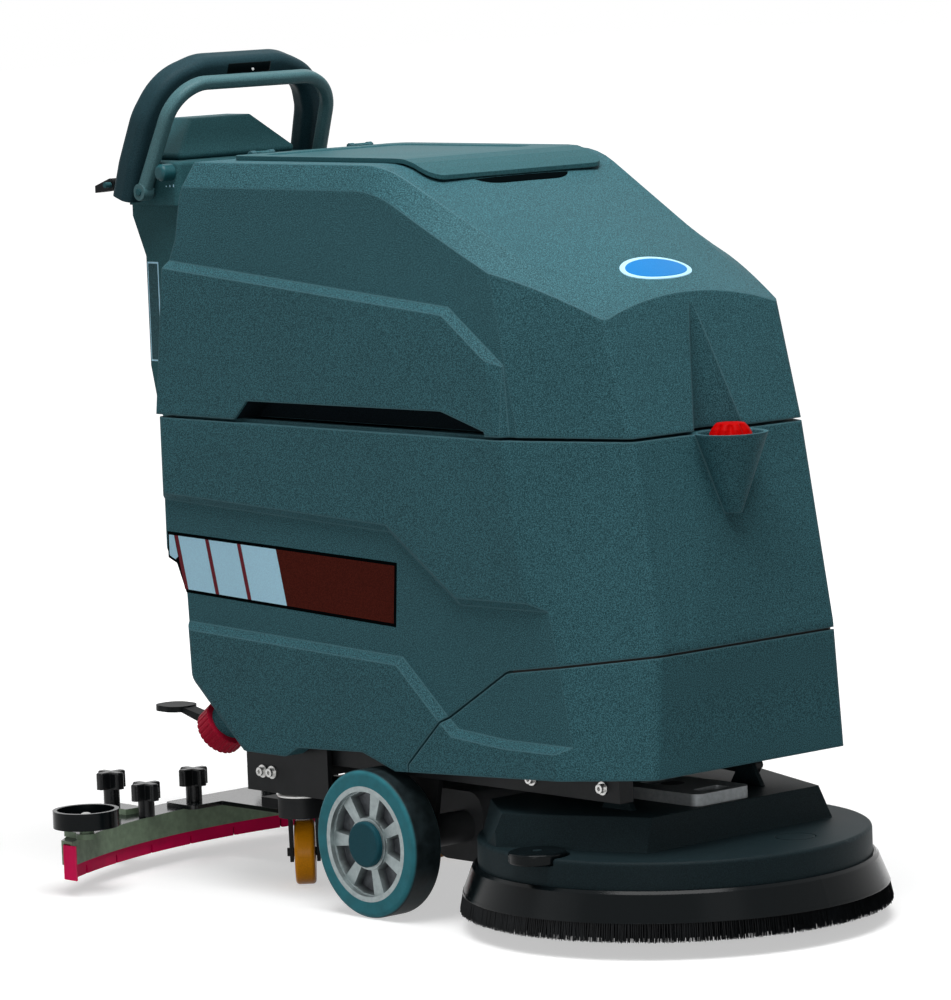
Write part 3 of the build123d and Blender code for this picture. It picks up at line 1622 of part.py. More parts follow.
# squeegee: a crescent in plan, between a front and a rear arc
bar_radius = (channel_half**2 + channel_sweep**2) / (2 * channel_sweep)
bar_centre_x = channel_front_x + bar_radius
rear_sweep = channel_sweep + channel_depth - channel_end_depth
rear_radius = (channel_half**2 + rear_sweep**2) / (2 * rear_sweep)
rear_centre_x = channel_front_x - channel_depth + rear_radius


def bar_form(z, front, rear, half):
    """Plan of the crescent, drawn in from its front and rear arcs and cut off at half."""
    with BuildSketch(plan(z)) as form:
        with Locations((rear_centre_x, 0)):
            Circle(rear_radius - rear)
        with Locations((bar_centre_x, 0)):
            Circle(bar_radius + front, mode=Mode.SUBTRACT)
        with Locations((channel_front_x, 0)):
            Rectangle(4 * channel_sweep, 2 * half, mode=Mode.INTERSECT)
    return form.sketch


def arc_strip(z, centre_x, outer, half):
    """Plan of a blade along an arc, blade_thick inside its outer radius."""
    with BuildSketch(plan(z)) as strip:
        with Locations((centre_x, 0)):
            Circle(outer)
            Circle(outer - blade_thick, mode=Mode.SUBTRACT)
        with Locations((channel_front_x, 0)):
            Rectangle(4 * channel_sweep, 2 * half, mode=Mode.INTERSECT)
    return strip.sketch


spots = {"mount": (mount_knob_x, mount_knob_y), "clamp": (clamp_knob_x, clamp_knob_y)}
mount_top_z = channel_top_z + mount_plate_thick
support_axle_z = blade_bottom_z + support_lift + support_radius
bracket_top_z = channel_top_z + plate
with BuildPart(AXLE) as squeegee_channel:
    extrude(bar_form(channel_bottom_z, 0, 0, channel_half), amount=channel_top_z - channel_bottom_z)
    extrude(
        bar_form(channel_bottom_z, channel_wall, channel_wall, channel_half + channel_wall),
        amount=channel_top_z - channel_wall - channel_bottom_z, mode=Mode.SUBTRACT,
    )
    for hand in (-1, 1):
        # bracket and pin of the end roller
        with BuildSketch(plan(channel_top_z)):
            with Locations((roller_x, hand * end_roller_y)):
                Circle(3 * roller_pin_radius)
            with Locations((roller_x - end_bracket / 2, hand * (end_roller_y - 4))):
                Rectangle(end_bracket, 5 * roller_pin_radius)
        extrude(amount=plate)
        with BuildSketch(plan(channel_top_z)):
            with Locations((roller_x, hand * end_roller_y)):
                Circle(2 * roller_pin_radius)
        extrude(amount=roller_bottom_z - rest_gap - channel_top_z)
        with BuildSketch(plan(channel_top_z)):
            with Locations((roller_x, hand * end_roller_y)):
                Circle(roller_pin_radius)
        extrude(amount=roller_bottom_z + roller_hub + 2 - channel_top_z)
        # bracket of the support wheel
        with Locations((support_x - support_radius / 2, hand * support_y, channel_top_z)):
            Box(
                support_bracket, support_width + 4 * channel_wall, plate,
                align=(Align.MIN, Align.CENTER, Align.MIN),
            )
        for cheek in (-1, 1):
            with Locations((
                support_x, hand * support_y + cheek * (support_width + channel_wall + 2 * side_play) / 2,
                support_axle_z - 9,
            )):
                Box(
                    support_radius, channel_wall, channel_top_z - support_axle_z + 10,
                    align=(Align.CENTER, Align.CENTER, Align.MIN),
                )
        with BuildSketch(side(hand * support_y + support_width / 2 + channel_wall)):
            with Locations((support_x, support_axle_z)):
                Circle(knob_stud_radius)
        extrude(amount=support_width + 2 * channel_wall)
        # bores for the knobs' studs
        for x, y in spots.values():
            with BuildSketch(plan(channel_top_z - channel_wall)):
                with Locations((x, hand * y)):
                    Circle(knob_stud_radius + run_fit)
            extrude(amount=channel_wall, mode=Mode.SUBTRACT)
        with BuildSketch(plan(channel_top_z + 2)):
            with Locations((support_x, hand * support_y)):
                Circle(knob_stud_radius + run_fit)
        extrude(amount=plate, mode=Mode.SUBTRACT)
    # suction spigot
    with BuildSketch(plan(channel_top_z)):
        with Locations((spigot_x, spigot_y)):
            Circle(spigot_radius)
    extrude(amount=spigot_height)
    with BuildSketch(plan(channel_top_z - channel_wall)):
        with Locations((spigot_x, spigot_y)):
            Circle(spigot_radius - channel_wall)
    extrude(amount=spigot_height + channel_wall, mode=Mode.SUBTRACT)
save(squeegee_channel, "squeegee_channel")

# rubber blades: the slotted front one and the rear one that wraps the channel's ends
blade_top_z = channel_top_z - channel_wall - 1
blade_height = blade_top_z - blade_bottom_z
front_blade_radius = bar_radius + channel_wall + blade_thick
with BuildPart(AXLE) as front_blade:
    extrude(
        arc_strip(blade_bottom_z, bar_centre_x, front_blade_radius, channel_half - side_play), amount=blade_height
    )
    for i in range(blade_slots):
        slot_turn = (i - (blade_slots - 1) / 2) * blade_slot_pitch / bar_radius
        with Locations(Location(
            (bar_centre_x - bar_radius * cos(slot_turn), -bar_radius * sin(slot_turn), blade_bottom_z),
            (0, 0, degrees(slot_turn)),
        )):
            Box(6 * blade_thick, blade_slot_width, 2 * blade_slot_height, mode=Mode.SUBTRACT)
save(front_blade, "front_blade")

blade_end = channel_half + blade_thick
with BuildPart(AXLE) as rear_blade:
    extrude(arc_strip(blade_bottom_z, rear_centre_x, rear_radius - channel_wall, blade_end), amount=blade_height)
    with BuildSketch(plan(blade_bottom_z)):
        add(bar_form(blade_bottom_z, 0, 0, blade_end))
        with Locations((channel_front_x, 0)):
            Rectangle(4 * channel_sweep, 2 * channel_half, mode=Mode.SUBTRACT)
    extrude(amount=blade_height)
save(rear_blade, "rear_blade")

# mount plate on the channel; it swings on the arm's pin
with BuildPart(AXLE) as squeegee_mount:
    with BuildSketch(plan(channel_top_z)):
        with Locations((mount_knob_x, 0)):
            RectangleRounded(mount_plate_depth, 2 * mount_plate_half, 10)
        with Locations(((mount_knob_x + swing_x) / 2, 0)):
            RectangleRounded(swing_x - mount_knob_x + mount_plate_depth, 2 * lift_arm_half, 14)
        with Locations((swing_x, 0)):
            Circle(swing_pin_radius + run_fit, mode=Mode.SUBTRACT)
        for hand in (-1, 1):
            with Locations((mount_knob_x, hand * mount_knob_y)):
                Circle(knob_stud_radius + run_fit, mode=Mode.SUBTRACT)
    extrude(amount=mount_plate_thick)
save(squeegee_mount, "squeegee_mount")


# star knobs with studs
def star_knob(x, y, seat_z, stud):
    """Knob with four arms on a neck that stands on seat_z, with a stud below it."""
    with BuildPart(AXLE) as knob:
        with BuildSketch(plan(seat_z + rest_gap)):
            with Locations((x, y)):
                Circle(knob_radius / 2)
        extrude(amount=knob_height / 2)
        with BuildSketch(plan(seat_z + knob_height / 2)):
            for turn in (0, 90):
                with Locations((x, y)):
                    RectangleRounded(2 * knob_radius, knob_arm, knob_arm / 3, rotation=turn)
        extrude(amount=knob_height / 2)
        fillet(knob.faces().sort_by(Axis.Z)[-1].edges(), radius=knob_arm / 5)
        with BuildSketch(plan(seat_z + rest_gap)):
            with Locations((x, y)):
                Circle(knob_stud_radius)
        extrude(amount=-stud - rest_gap)
    return knob


for hand, where in ((-1, "right"), (1, "left")):
    save(
        star_knob(mount_knob_x, hand * mount_knob_y, mount_top_z, mount_plate_thick + channel_wall),
        f"mount_knob_{where}",
    )
    save(star_knob(clamp_knob_x, hand * clamp_knob_y, channel_top_z, channel_wall), f"clamp_knob_{where}")
    save(star_knob(support_x, hand * support_y, bracket_top_z, plate - 3), f"support_knob_{where}")


# end rollers: cups on upright pins, and the support wheels
def end_roller(hand):
    with BuildPart(AXLE) as roller:
        with BuildSketch(plan(roller_bottom_z)):
            with Locations((roller_x, hand * end_roller_y)):
                Circle(roller_radius)
        extrude(amount=roller_height)
        with BuildSketch(plan(roller_bottom_z + roller_hub / 2)):
            with Locations((roller_x, hand * end_roller_y)):
                Circle(roller_radius - roller_wall)
                Circle(3 * roller_pin_radius, mode=Mode.SUBTRACT)
        extrude(amount=roller_height, mode=Mode.SUBTRACT)
        with BuildSketch(plan(roller_bottom_z + roller_hub)):
            with Locations((roller_x, hand * end_roller_y)):
                Circle(3 * roller_pin_radius)
        extrude(amount=roller_height, mode=Mode.SUBTRACT)
        with BuildSketch(plan(roller_bottom_z)):
            with Locations((roller_x, hand * end_roller_y)):
                Circle(roller_pin_radius + run_fit)
        extrude(amount=roller_height, mode=Mode.SUBTRACT)
    return roller


def support_wheel(hand):
    with BuildPart(AXLE) as wheel:
        with BuildSketch(side(hand * support_y + support_width / 2)):
            with Locations((support_x, support_axle_z)):
                Circle(support_radius)
                Circle(knob_stud_radius + run_fit, mode=Mode.SUBTRACT)
        extrude(amount=support_width)
    return wheel


for hand, where in ((-1, "right"), (1, "left")):
    save(end_roller(hand), f"end_roller_{where}")
    save(support_wheel(hand), f"support_wheel_{where}")

# arm that lifts the squeegee: hinged on the chassis, with the swing pin at its end
swing_seat_z = mount_top_z + rest_gap
with BuildPart(AXLE) as squeegee_arm:
    with BuildSketch(side(lift_arm_half)):
        with Locations((lift_x, lift_z)):
            Circle(2 * lift_pin_radius)
        with BuildLine():
            Polyline(
                (lift_x, lift_z + 11), (lift_x - 45, swing_seat_z + arm_plate), (swing_x - 26, swing_seat_z + arm_plate),
                (swing_x - 26, swing_seat_z), (lift_x - 50, swing_seat_z), (lift_x, lift_z - 11), close=True,
            )
        make_face()
        with Locations((lift_x, lift_z)):
            Circle(lift_pin_radius + run_fit, mode=Mode.SUBTRACT)
    extrude(amount=2 * lift_arm_half)
    with BuildSketch(plan(swing_seat_z + arm_plate)):
        with Locations((swing_x, 0)):
            Circle(swing_pin_radius)
    extrude(amount=channel_top_z - rest_gap - plate - swing_seat_z - arm_plate)
    with BuildSketch(plan(channel_top_z - rest_gap)):
        with Locations((swing_x, 0)):
            Circle(2 * swing_pin_radius)
    extrude(amount=-plate)
save(squeegee_arm, "squeegee_arm")
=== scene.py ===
import bpy
import bmesh
import math
import random
from mathutils import Matrix, Vector


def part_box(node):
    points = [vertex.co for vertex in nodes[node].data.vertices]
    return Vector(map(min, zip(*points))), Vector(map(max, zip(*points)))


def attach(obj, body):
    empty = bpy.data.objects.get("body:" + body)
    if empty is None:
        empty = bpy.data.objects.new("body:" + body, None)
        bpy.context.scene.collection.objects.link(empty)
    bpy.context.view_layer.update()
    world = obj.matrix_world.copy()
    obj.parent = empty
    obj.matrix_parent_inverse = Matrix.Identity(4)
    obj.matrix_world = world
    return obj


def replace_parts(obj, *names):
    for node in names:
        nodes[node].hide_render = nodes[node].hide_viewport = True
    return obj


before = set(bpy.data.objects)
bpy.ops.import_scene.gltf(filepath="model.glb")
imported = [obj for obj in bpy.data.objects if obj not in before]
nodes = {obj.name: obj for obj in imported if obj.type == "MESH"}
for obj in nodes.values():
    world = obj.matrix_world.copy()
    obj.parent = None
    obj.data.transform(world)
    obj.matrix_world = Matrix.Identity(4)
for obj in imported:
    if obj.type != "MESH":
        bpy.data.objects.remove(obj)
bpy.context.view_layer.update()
scene = bpy.context.scene

AXLE_X = 0.0095                   # the drive axle in the shared frame, in metres
MM_PER_M = 1000
HANDS = {"right": -1, "left": 1}  # each side with the sign of its y
RIGHTWARD = (0, -1, 0)

# sockets of a mix node that blends colours
MIX_FACTOR = 0
MIX_A = 6
MIX_B = 7
MIX_RESULT = 2

EDGE_SAMPLES = 4
WEAR_AND_HIGHLIGHT_SAMPLES = 6
WEAR_AND_HIGHLIGHT_RADIUS = 0.003
WEAR_AND_HIGHLIGHT_TURN = (0.998, 0.95)         # cosine of the edge's turn where the paler edge, partly wear and partly painted highlight, starts, and where it is full
WEAR_AND_HIGHLIGHT_PALER = 1.35
SPECKLE_STOPS = (0.38, 0.5, 0.62)
SPECKLE_PALER = 1.3               # pale specks depart this much more from the base than dark ones


# materials: noise scales are per metre, bump distances and edge radii are in metres
def shader(name, base, rough, metallic=0.0, specular=0.5):
    """New node material; returns the material, its nodes, its links and its shader."""
    material = bpy.data.materials.new(name)
    material.use_nodes = True
    tree = material.node_tree
    bsdf = tree.nodes["Principled BSDF"]
    bsdf.inputs["Base Color"].default_value = (*base, 1)
    bsdf.inputs["Roughness"].default_value = rough
    bsdf.inputs["Metallic"].default_value = metallic
    bsdf.inputs["Specular IOR Level"].default_value = specular
    return material, tree.nodes, tree.links, bsdf


def grey(level):
    return (level, level, level)


def shade(colour, factor):
    """The colour made darker or paler by a factor."""
    return tuple(min(1.0, c * factor) for c in colour)


def noise(ns, ls, scale, detail=2.0, stretch=None):
    """Noise in object space, stretched along the axes where asked."""
    coord = ns.new("ShaderNodeTexCoord")
    vector = coord.outputs["Object"]
    if stretch:
        mapping = ns.new("ShaderNodeMapping")
        mapping.inputs["Scale"].default_value = stretch
        ls.new(vector, mapping.inputs["Vector"])
        vector = mapping.outputs["Vector"]
    texture = ns.new("ShaderNodeTexNoise")
    texture.inputs["Scale"].default_value = scale
    texture.inputs["Detail"].default_value = detail
    ls.new(vector, texture.inputs["Vector"])
    return texture.outputs["Fac"]


def ramp(ns, ls, fac, stops):
    """Colour ramp over fac; stops are (position, colour)."""
    node = ns.new("ShaderNodeValToRGB")
    elements = node.color_ramp.elements
    while len(elements) < len(stops):
        elements.new(0.5)
    for element, (position, colour) in zip(elements, stops):
        element.position = position
        element.color = (*colour, 1)
    ls.new(fac, node.inputs["Fac"])
    return node.outputs["Color"]


def drift(ns, ls, fac, base, dark, pale, start=0.3, end=0.7):
    """Colour that goes with fac from a darker to a paler shade of base."""
    return ramp(ns, ls, fac, [(start, shade(base, dark)), (end, shade(base, pale))])


def mix(ns, ls, fac, a, b, blend="MIX"):
    """Colour mix of two sockets or colours; fac is a socket or a number."""
    node = ns.new("ShaderNodeMix")
    node.data_type = "RGBA"
    node.blend_type = blend
    for index, value in ((MIX_FACTOR, fac), (MIX_A, a), (MIX_B, b)):
        socket = node.inputs[index]
        if hasattr(value, "is_output"):
            ls.new(value, socket)
        elif isinstance(value, tuple):
            socket.default_value = (*value, 1)
        else:
            socket.default_value = value
    return node.outputs[MIX_RESULT]


def map_range(ns, ls, value, source=(0.0, 1.0), target=(0.0, 1.0)):
    """Value carried from the source range to the target range and held at its ends."""
    node = ns.new("ShaderNodeMapRange")
    for socket, number in zip(("From Min", "From Max", "To Min", "To Max"), (*source, *target)):
        node.inputs[socket].default_value = number
    ls.new(value, node.inputs["Value"])
    return node.outputs["Result"]


def component(ns, ls, vector, axis, absolute=False):
    """One component of a vector socket, without its sign where asked."""
    split = ns.new("ShaderNodeSeparateXYZ")
    ls.new(vector, split.inputs["Vector"])
    if not absolute:
        return split.outputs[axis]
    size = ns.new("ShaderNodeMath")
    size.operation = "ABSOLUTE"
    ls.new(split.outputs[axis], size.inputs[0])
    return size.outputs[0]


def facing(ns):
    """Direction that the surface faces."""
    return ns.new("ShaderNodeNewGeometry").outputs["Normal"]


def softened_normal(ns, radius, samples):
    """Direction of the surface with its edges rounded by radius."""
    bevel = ns.new("ShaderNodeBevel")
    bevel.samples = samples
    bevel.inputs["Radius"].default_value = radius
    return bevel.outputs["Normal"]


def bump(ns, ls, bsdf, height, strength, distance, round_edges=0.0):
    """Bump from a height socket, over softened edges where asked."""
    node = ns.new("ShaderNodeBump")
    node.inputs["Strength"].default_value = strength
    node.inputs["Distance"].default_value = distance
    ls.new(height, node.inputs["Height"])
    if round_edges:
        ls.new(softened_normal(ns, round_edges, EDGE_SAMPLES), node.inputs["Normal"])
    ls.new(node.outputs["Normal"], bsdf.inputs["Normal"])


def vary_roughness(ns, ls, bsdf, fac, low, high):
    """Roughness that goes with fac from low to high."""
    ls.new(map_range(ns, ls, fac, target=(low, high)), bsdf.inputs["Roughness"])


def worn_and_highlit_edges(ns, ls):
    """0 on flat areas, rising to 1 where the surface turns sharply within the radius of the paler edges,
    which are partly wear and partly painted highlight.
    """
    turn = ns.new("ShaderNodeVectorMath")
    turn.operation = "DOT_PRODUCT"
    ls.new(softened_normal(ns, WEAR_AND_HIGHLIGHT_RADIUS, WEAR_AND_HIGHLIGHT_SAMPLES), turn.inputs[0])
    ls.new(facing(ns), turn.inputs[1])
    return map_range(ns, ls, turn.outputs["Value"], source=WEAR_AND_HIGHLIGHT_TURN)


def moulded(name, base, rough=0.5, speckle=0.25, grain=760.0, edges=0.0012, specular=0.06, wear_and_highlight=0.0):
    """Moulded plastic: fine speckle, slow tone drift, pebbled skin, and edges painted paler where asked,
    partly as wear and partly as painted highlight.
    """
    material, ns, ls, bsdf = shader(name, base, rough, specular=specular)
    fine = noise(ns, ls, grain, detail=3.0)
    slow = noise(ns, ls, scale=4.0)
    specks = (shade(base, 1 - speckle), base, shade(base, 1 + SPECKLE_PALER * speckle))
    dots = ramp(ns, ls, fine, list(zip(SPECKLE_STOPS, specks)))
    patches = drift(ns, ls, slow, grey(1.0), dark=0.86, pale=1.0)
    tone = mix(ns, ls, 1.0, dots, patches, "MULTIPLY")
    # paler edges: partly wear, partly painted highlight along the edges
    if wear_and_highlight:
        worn_and_highlit = tuple(c * WEAR_AND_HIGHLIGHT_PALER + wear_and_highlight for c in base)
        tone = mix(ns, ls, worn_and_highlit_edges(ns, ls), tone, worn_and_highlit)
    ls.new(tone, bsdf.inputs["Base Color"])
    vary_roughness(ns, ls, bsdf, slow, low=rough - 0.06, high=rough + 0.08)
    bump(ns, ls, bsdf, fine, strength=0.25, distance=0.0004, round_edges=edges)
    return material


def metal(name, base, rough, stretch=(1, 1, 1), scale=260.0, metallic=1.0):
    """Bare or cast metal: streaked tone and roughness, slight bump."""
    material, ns, ls, bsdf = shader(name, base, rough, metallic=metallic)
    streak = noise(ns, ls, scale, detail=4.0, stretch=stretch)
    ls.new(drift(ns, ls, streak, base, dark=0.78, pale=1.08), bsdf.inputs["Base Color"])
    vary_roughness(ns, ls, bsdf, streak, low=rough - 0.08, high=rough + 0.12)
    bump(ns, ls, bsdf, streak, strength=0.12, distance=0.0003, round_edges=0.0006)
    return material


def coated(name, base, rough=0.38):
    """Powder-coated steel: orange-peel skin and faint dust."""
    material, ns, ls, bsdf = shader(name, base, rough, specular=0.15)
    peel = noise(ns, ls, scale=420.0)
    dust = noise(ns, ls, scale=14.0, detail=4.0)
    dusty = tuple(c * 1.5 + 0.012 for c in base)
    ls.new(ramp(ns, ls, dust, [(0.4, base), (0.75, dusty)]), bsdf.inputs["Base Color"])
    vary_roughness(ns, ls, bsdf, dust, low=rough - 0.05, high=rough + 0.2)
    bump(ns, ls, bsdf, peel, strength=0.18, distance=0.0003, round_edges=0.0008)
    return material


def rubber(name, base, rough=0.5, tone=0.18):
    """Rubber or nylon: slow drift of tone and a fine skin."""
    material, ns, ls, bsdf = shader(name, base, rough, specular=0.12)
    fine = noise(ns, ls, scale=500.0, detail=3.0)
    slow = noise(ns, ls, scale=18.0, detail=3.0)
    ls.new(drift(ns, ls, slow, base, dark=1 - tone, pale=1 + tone), bsdf.inputs["Base Color"])
    vary_roughness(ns, ls, bsdf, slow, low=rough - 0.08, high=rough + 0.1)
    bump(ns, ls, bsdf, fine, strength=0.15, distance=0.0003)
    return material


def pressing(name, face, top):
    """Painted pressing whose upper faces are polished black, told apart by the face's direction."""
    material, ns, ls, bsdf = shader(name, face, rough=0.4, specular=0.3)
    upward = map_range(ns, ls, component(ns, ls, facing(ns), "Z"), source=(0.4, 0.7))
    dust = noise(ns, ls, scale=90.0, detail=4.0)
    face_tone = drift(ns, ls, dust, face, dark=0.8, pale=1.2)
    top_tone = drift(ns, ls, dust, top, dark=0.7, pale=1.8)
    ls.new(mix(ns, ls, upward, face_tone, top_tone), bsdf.inputs["Base Color"])
    vary_roughness(ns, ls, bsdf, upward, low=0.45, high=0.16)
    peel = noise(ns, ls, scale=400.0)
    bump(ns, ls, bsdf, peel, strength=0.12, distance=0.0003, round_edges=0.0008)
    return material


def tyre_material(name, wall, tread_painted_shade):
    """Teal side walls and a running face painted dark as the shade under the body, with random scuffs, told
    apart by the face's direction.
    """
    material, ns, ls, bsdf = shader(name, wall, rough=0.5, specular=0.12)
    sideways = component(ns, ls, facing(ns), "Y", absolute=True)
    on_wall = map_range(ns, ls, sideways, source=(0.35, 0.75))
    grain = noise(ns, ls, scale=60.0, detail=4.0)
    wall_tone = drift(ns, ls, grain, wall, dark=0.85, pale=1.12)
    tread_painted_shade_tone = drift(ns, ls, grain, tread_painted_shade, dark=0.7, pale=1.6, start=0.35)
    ls.new(mix(ns, ls, on_wall, tread_painted_shade_tone, wall_tone), bsdf.inputs["Base Color"])
    vary_roughness(ns, ls, bsdf, grain, low=0.4, high=0.6)
    bump(ns, ls, bsdf, noise(ns, ls, scale=400.0), strength=0.15, distance=0.0003)
    return material


def rim_material(name, face, pocket_painted_shade, floor_y, face_y):
    """Cast metal painted darker into its pockets as painted shade; floor_y and face_y are metres from the
    centre plane.
    """
    material, ns, ls, bsdf = shader(name, face, rough=0.42, metallic=0.7)
    coord = ns.new("ShaderNodeTexCoord")
    outward = component(ns, ls, coord.outputs["Object"], "Y", absolute=True)
    on_face = map_range(ns, ls, outward, source=(floor_y, face_y))
    grain = noise(ns, ls, scale=120.0, detail=4.0)
    face_tone = drift(ns, ls, grain, face, dark=0.8, pale=1.08)
    pocket_painted_shade_tone = drift(ns, ls, grain, pocket_painted_shade, dark=0.7, pale=1.3)
    ls.new(mix(ns, ls, on_face, pocket_painted_shade_tone, face_tone), bsdf.inputs["Base Color"])
    vary_roughness(ns, ls, bsdf, grain, low=0.34, high=0.54)
    bump(ns, ls, bsdf, grain, strength=0.12, distance=0.0003, round_edges=0.0006)
    return material


def film_material(name, base, rough, speckle, specular=0.06):
    """Thin printed film or flat dark skin: moulded plastic with its edges left sharp."""
    return moulded(name, base, rough=rough, speckle=speckle, edges=0.0, specular=specular)


# moulded plastics
# the body's edges are painted paler: partly wear, partly painted highlight
body_skin = moulded("body_speckle", (0.037, 0.109, 0.129), rough=0.55, speckle=0.52, edges=0.005, wear_and_highlight=0.03)
lid_skin = moulded("lid_dark", (0.03, 0.1, 0.115), rough=0.5, speckle=0.25)
column_skin = moulded("column_grey", (0.029, 0.095, 0.108), rough=0.5, speckle=0.25, edges=0.003)
grip_skin = moulded("grip_dark", (0.016, 0.042, 0.052), rough=0.5, speckle=0.2, grain=700)
bail_skin = moulded("bail_grey", (0.066, 0.15, 0.165), rough=0.36, speckle=0.18, edges=0.002, specular=0.12)
black = moulded("black_moulding", (0.008, 0.01, 0.011), rough=0.42, speckle=0.2)
deck_skin = moulded("deck_textured", (0.008, 0.016, 0.019), rough=0.5, speckle=0.3, edges=0.003)
gloss = moulded("black_gloss", (0.003, 0.005, 0.006), rough=0.1, speckle=0.08, specular=0.1)
mount_gloss = moulded("mount_gloss", (0.004, 0.006, 0.007), rough=0.14, speckle=0.08, specular=0.4)
knob_black = moulded("knob_black", (0.005, 0.006, 0.007), rough=0.24, speckle=0.1, specular=0.2)
knob_teal = moulded("knob_teal", (0.016, 0.085, 0.1), rough=0.22, speckle=0.1, specular=0.15)
red = moulded("cap_red", (0.43, 0.001, 0.001), rough=0.35, speckle=0.08, specular=0.02)
drain_red = moulded("drain_red", (0.42, 0.01, 0.035), rough=0.45, speckle=0.12)
orange = moulded("caster_orange", (0.9, 0.34, 0.006), rough=0.3, speckle=0.1, specular=0.12)
hub_skin = moulded("hub_teal", (0.012, 0.075, 0.098), rough=0.25, speckle=0.08, specular=0.05)
battery_skin = moulded("battery_case", (0.02, 0.02, 0.023), rough=0.4, speckle=0.15)

# metals and rubbers
frame_skin = coated("frame_black", (0.006, 0.007, 0.008))
drive_skin = coated("drive_grey", (0.05, 0.052, 0.055), rough=0.45)
channel_skin = pressing("channel_olive", face=(0.19, 0.27, 0.175), top=(0.005, 0.007, 0.008))
# the darker pocket colour is painted shade in the rim's hollows
rim_skin = rim_material(
    "cast_rim", face=(0.32, 0.37, 0.375), pocket_painted_shade=(0.075, 0.08, 0.088), floor_y=0.2215, face_y=0.2315,
)
plate_skin = metal("cast_plate", (0.26, 0.28, 0.29), rough=0.5, scale=140.0, metallic=0.5)
steel = metal("bright_steel", (0.6, 0.6, 0.59), rough=0.3, stretch=(1, 8, 1))
# the dark running face is painted shade
tyre_skin = tyre_material("tyre_teal", wall=(0.028, 0.17, 0.205), tread_painted_shade=(0.01, 0.016, 0.018))
crimson = rubber("blade_crimson", (0.88, 0.002, 0.105))
seal = rubber("seal_black", (0.015, 0.015, 0.015))
bristle = rubber("bristle_nylon", (0.006, 0.007, 0.008), rough=0.35, tone=0.5)

# films and flat dark skins
white_film = film_material("film_white", (0.47, 0.78, 0.96), rough=0.45, speckle=0.05)
brown_film = film_material("film_brown", (0.064, 0.01, 0.006), rough=0.55, speckle=0.25, specular=0.02)
stripe_film = film_material("film_stripe", (0.14, 0.012, 0.02), rough=0.45, speckle=0.12)
black_film = film_material("film_black", (0.005, 0.007, 0.008), rough=0.35, speckle=0.1)
label_film = film_material("film_grey", (0.032, 0.085, 0.1), rough=0.4, speckle=0.3)
# dark for the decal's printed outline, and as painted shade in the finger recess
recess_dark = film_material("recess_dark", (0.0015, 0.003, 0.0035), rough=0.9, speckle=0.2, specular=0.0)
# painted shade inside the hand slot
slot_dark = film_material("slot_dark", (0.008, 0.014, 0.018), rough=0.8, speckle=0.3, specular=0.02)
blue_film = film_material("film_blue", (0.004, 0.2, 0.55), rough=0.3, speckle=0.05)
lamp_white = film_material("lamp_white", (0.9, 0.92, 0.92), rough=0.2, speckle=0.02)

# which CAD nodes take which material; the paired ones are named by their stem
SINGLE = (
    (body_skin, ("recovery_tank", "solution_tank", "front_cover")),
    (lid_skin, ("tank_lid",)),
    (column_skin, ("rear_column", "console_housing", "handle_yoke")),
    (black_film, ("control_panel",)),
    (black, ("squeegee_lever", "foot_pedal", "brush_plate")),
    (deck_skin, ("deck_housing",)),
    (gloss, ("deck_roller", "deck_ring", "vacuum_button")),
    (knob_teal, ("flow_knob",)),
    (steel, ("key_switch", "chassis_bolts")),
    (red, ("brush_button", "filler_cap")),
    (drain_red, ("drain_cap",)),
    (grip_skin, ("handle_hoop",)),
    (bail_skin, ("bail_lever",)),
    (frame_skin, ("chassis_frame", "lift_arms", "squeegee_arm", "tank_hinge_base", "tank_hinge_leaves")),
    (drive_skin, ("transaxle", "brush_motor")),
    (battery_skin, ("batteries",)),
    (bristle, ("skirt_bristles", "brush_bristles")),
    (seal, ("lid_gasket",)),
    (channel_skin, ("squeegee_channel",)),
    (mount_gloss, ("squeegee_mount",)),
    (crimson, ("front_blade", "rear_blade")),
    (plate_skin, ("motor_plate",)),
)
PAIRED = (
    (tyre_skin, ("tyre",)),
    (rim_skin, ("rim",)),
    (hub_skin, ("hub_cap",)),
    (frame_skin, ("caster_fork",)),
    (orange, ("caster_wheel",)),
    (knob_black, ("mount_knob", "clamp_knob", "support_knob")),
    (gloss, ("end_roller",)),
    (black, ("support_wheel",)),
)
finish = {name: material for material, names in SINGLE for name in names}
for material, stems in PAIRED:
    for stem in stems:
        for hand in HANDS:
            finish[f"{stem}_{hand}"] = material
for name, node in nodes.items():
    node.data.materials.clear()
    node.data.materials.append(finish[name])


# new pieces, in millimetres from the drive axle
def place(x, y, z):
    """Point in the shared frame, in metres."""
    return Vector((x / MM_PER_M + AXLE_X, y / MM_PER_M, z / MM_PER_M))


def ring_turns(count):
    """Angles of points spread evenly round a circle."""
    return [2 * math.pi * i / count for i in range(count)]


def piece(name, mesh_maker, material, body_name):
    """Mesh object from a bmesh maker, riding on a body."""
    bm = bmesh.new()
    mesh_maker(bm)
    mesh = bpy.data.meshes.new(name)
    bm.normal_update()
    bm.to_mesh(mesh)
    bm.free()
    obj = bpy.data.objects.new(name, mesh)
    scene.collection.objects.link(obj)
    mesh.materials.append(material)
    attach(obj, body_name)
    return obj


def vertices(bm, points):
    """New vertices at points given in axle millimetres."""
    return [bm.verts.new(place(*point)) for point in points]


def turn_outward(bm):
    bmesh.ops.recalc_face_normals(bm, faces=bm.faces)


def bridge(bm, rows, around=False, closed=False):
    """Quads between neighbouring rows; around joins a row's ends, closed joins the last row to the first."""
    following = rows[1:] + rows[:1] if closed else rows[1:]
    for a, b in zip(rows, following):
        for i in range(len(a) if around else len(a) - 1):
            j = (i + 1) % len(a)
            bm.faces.new((a[i], a[j], b[j], b[i]))


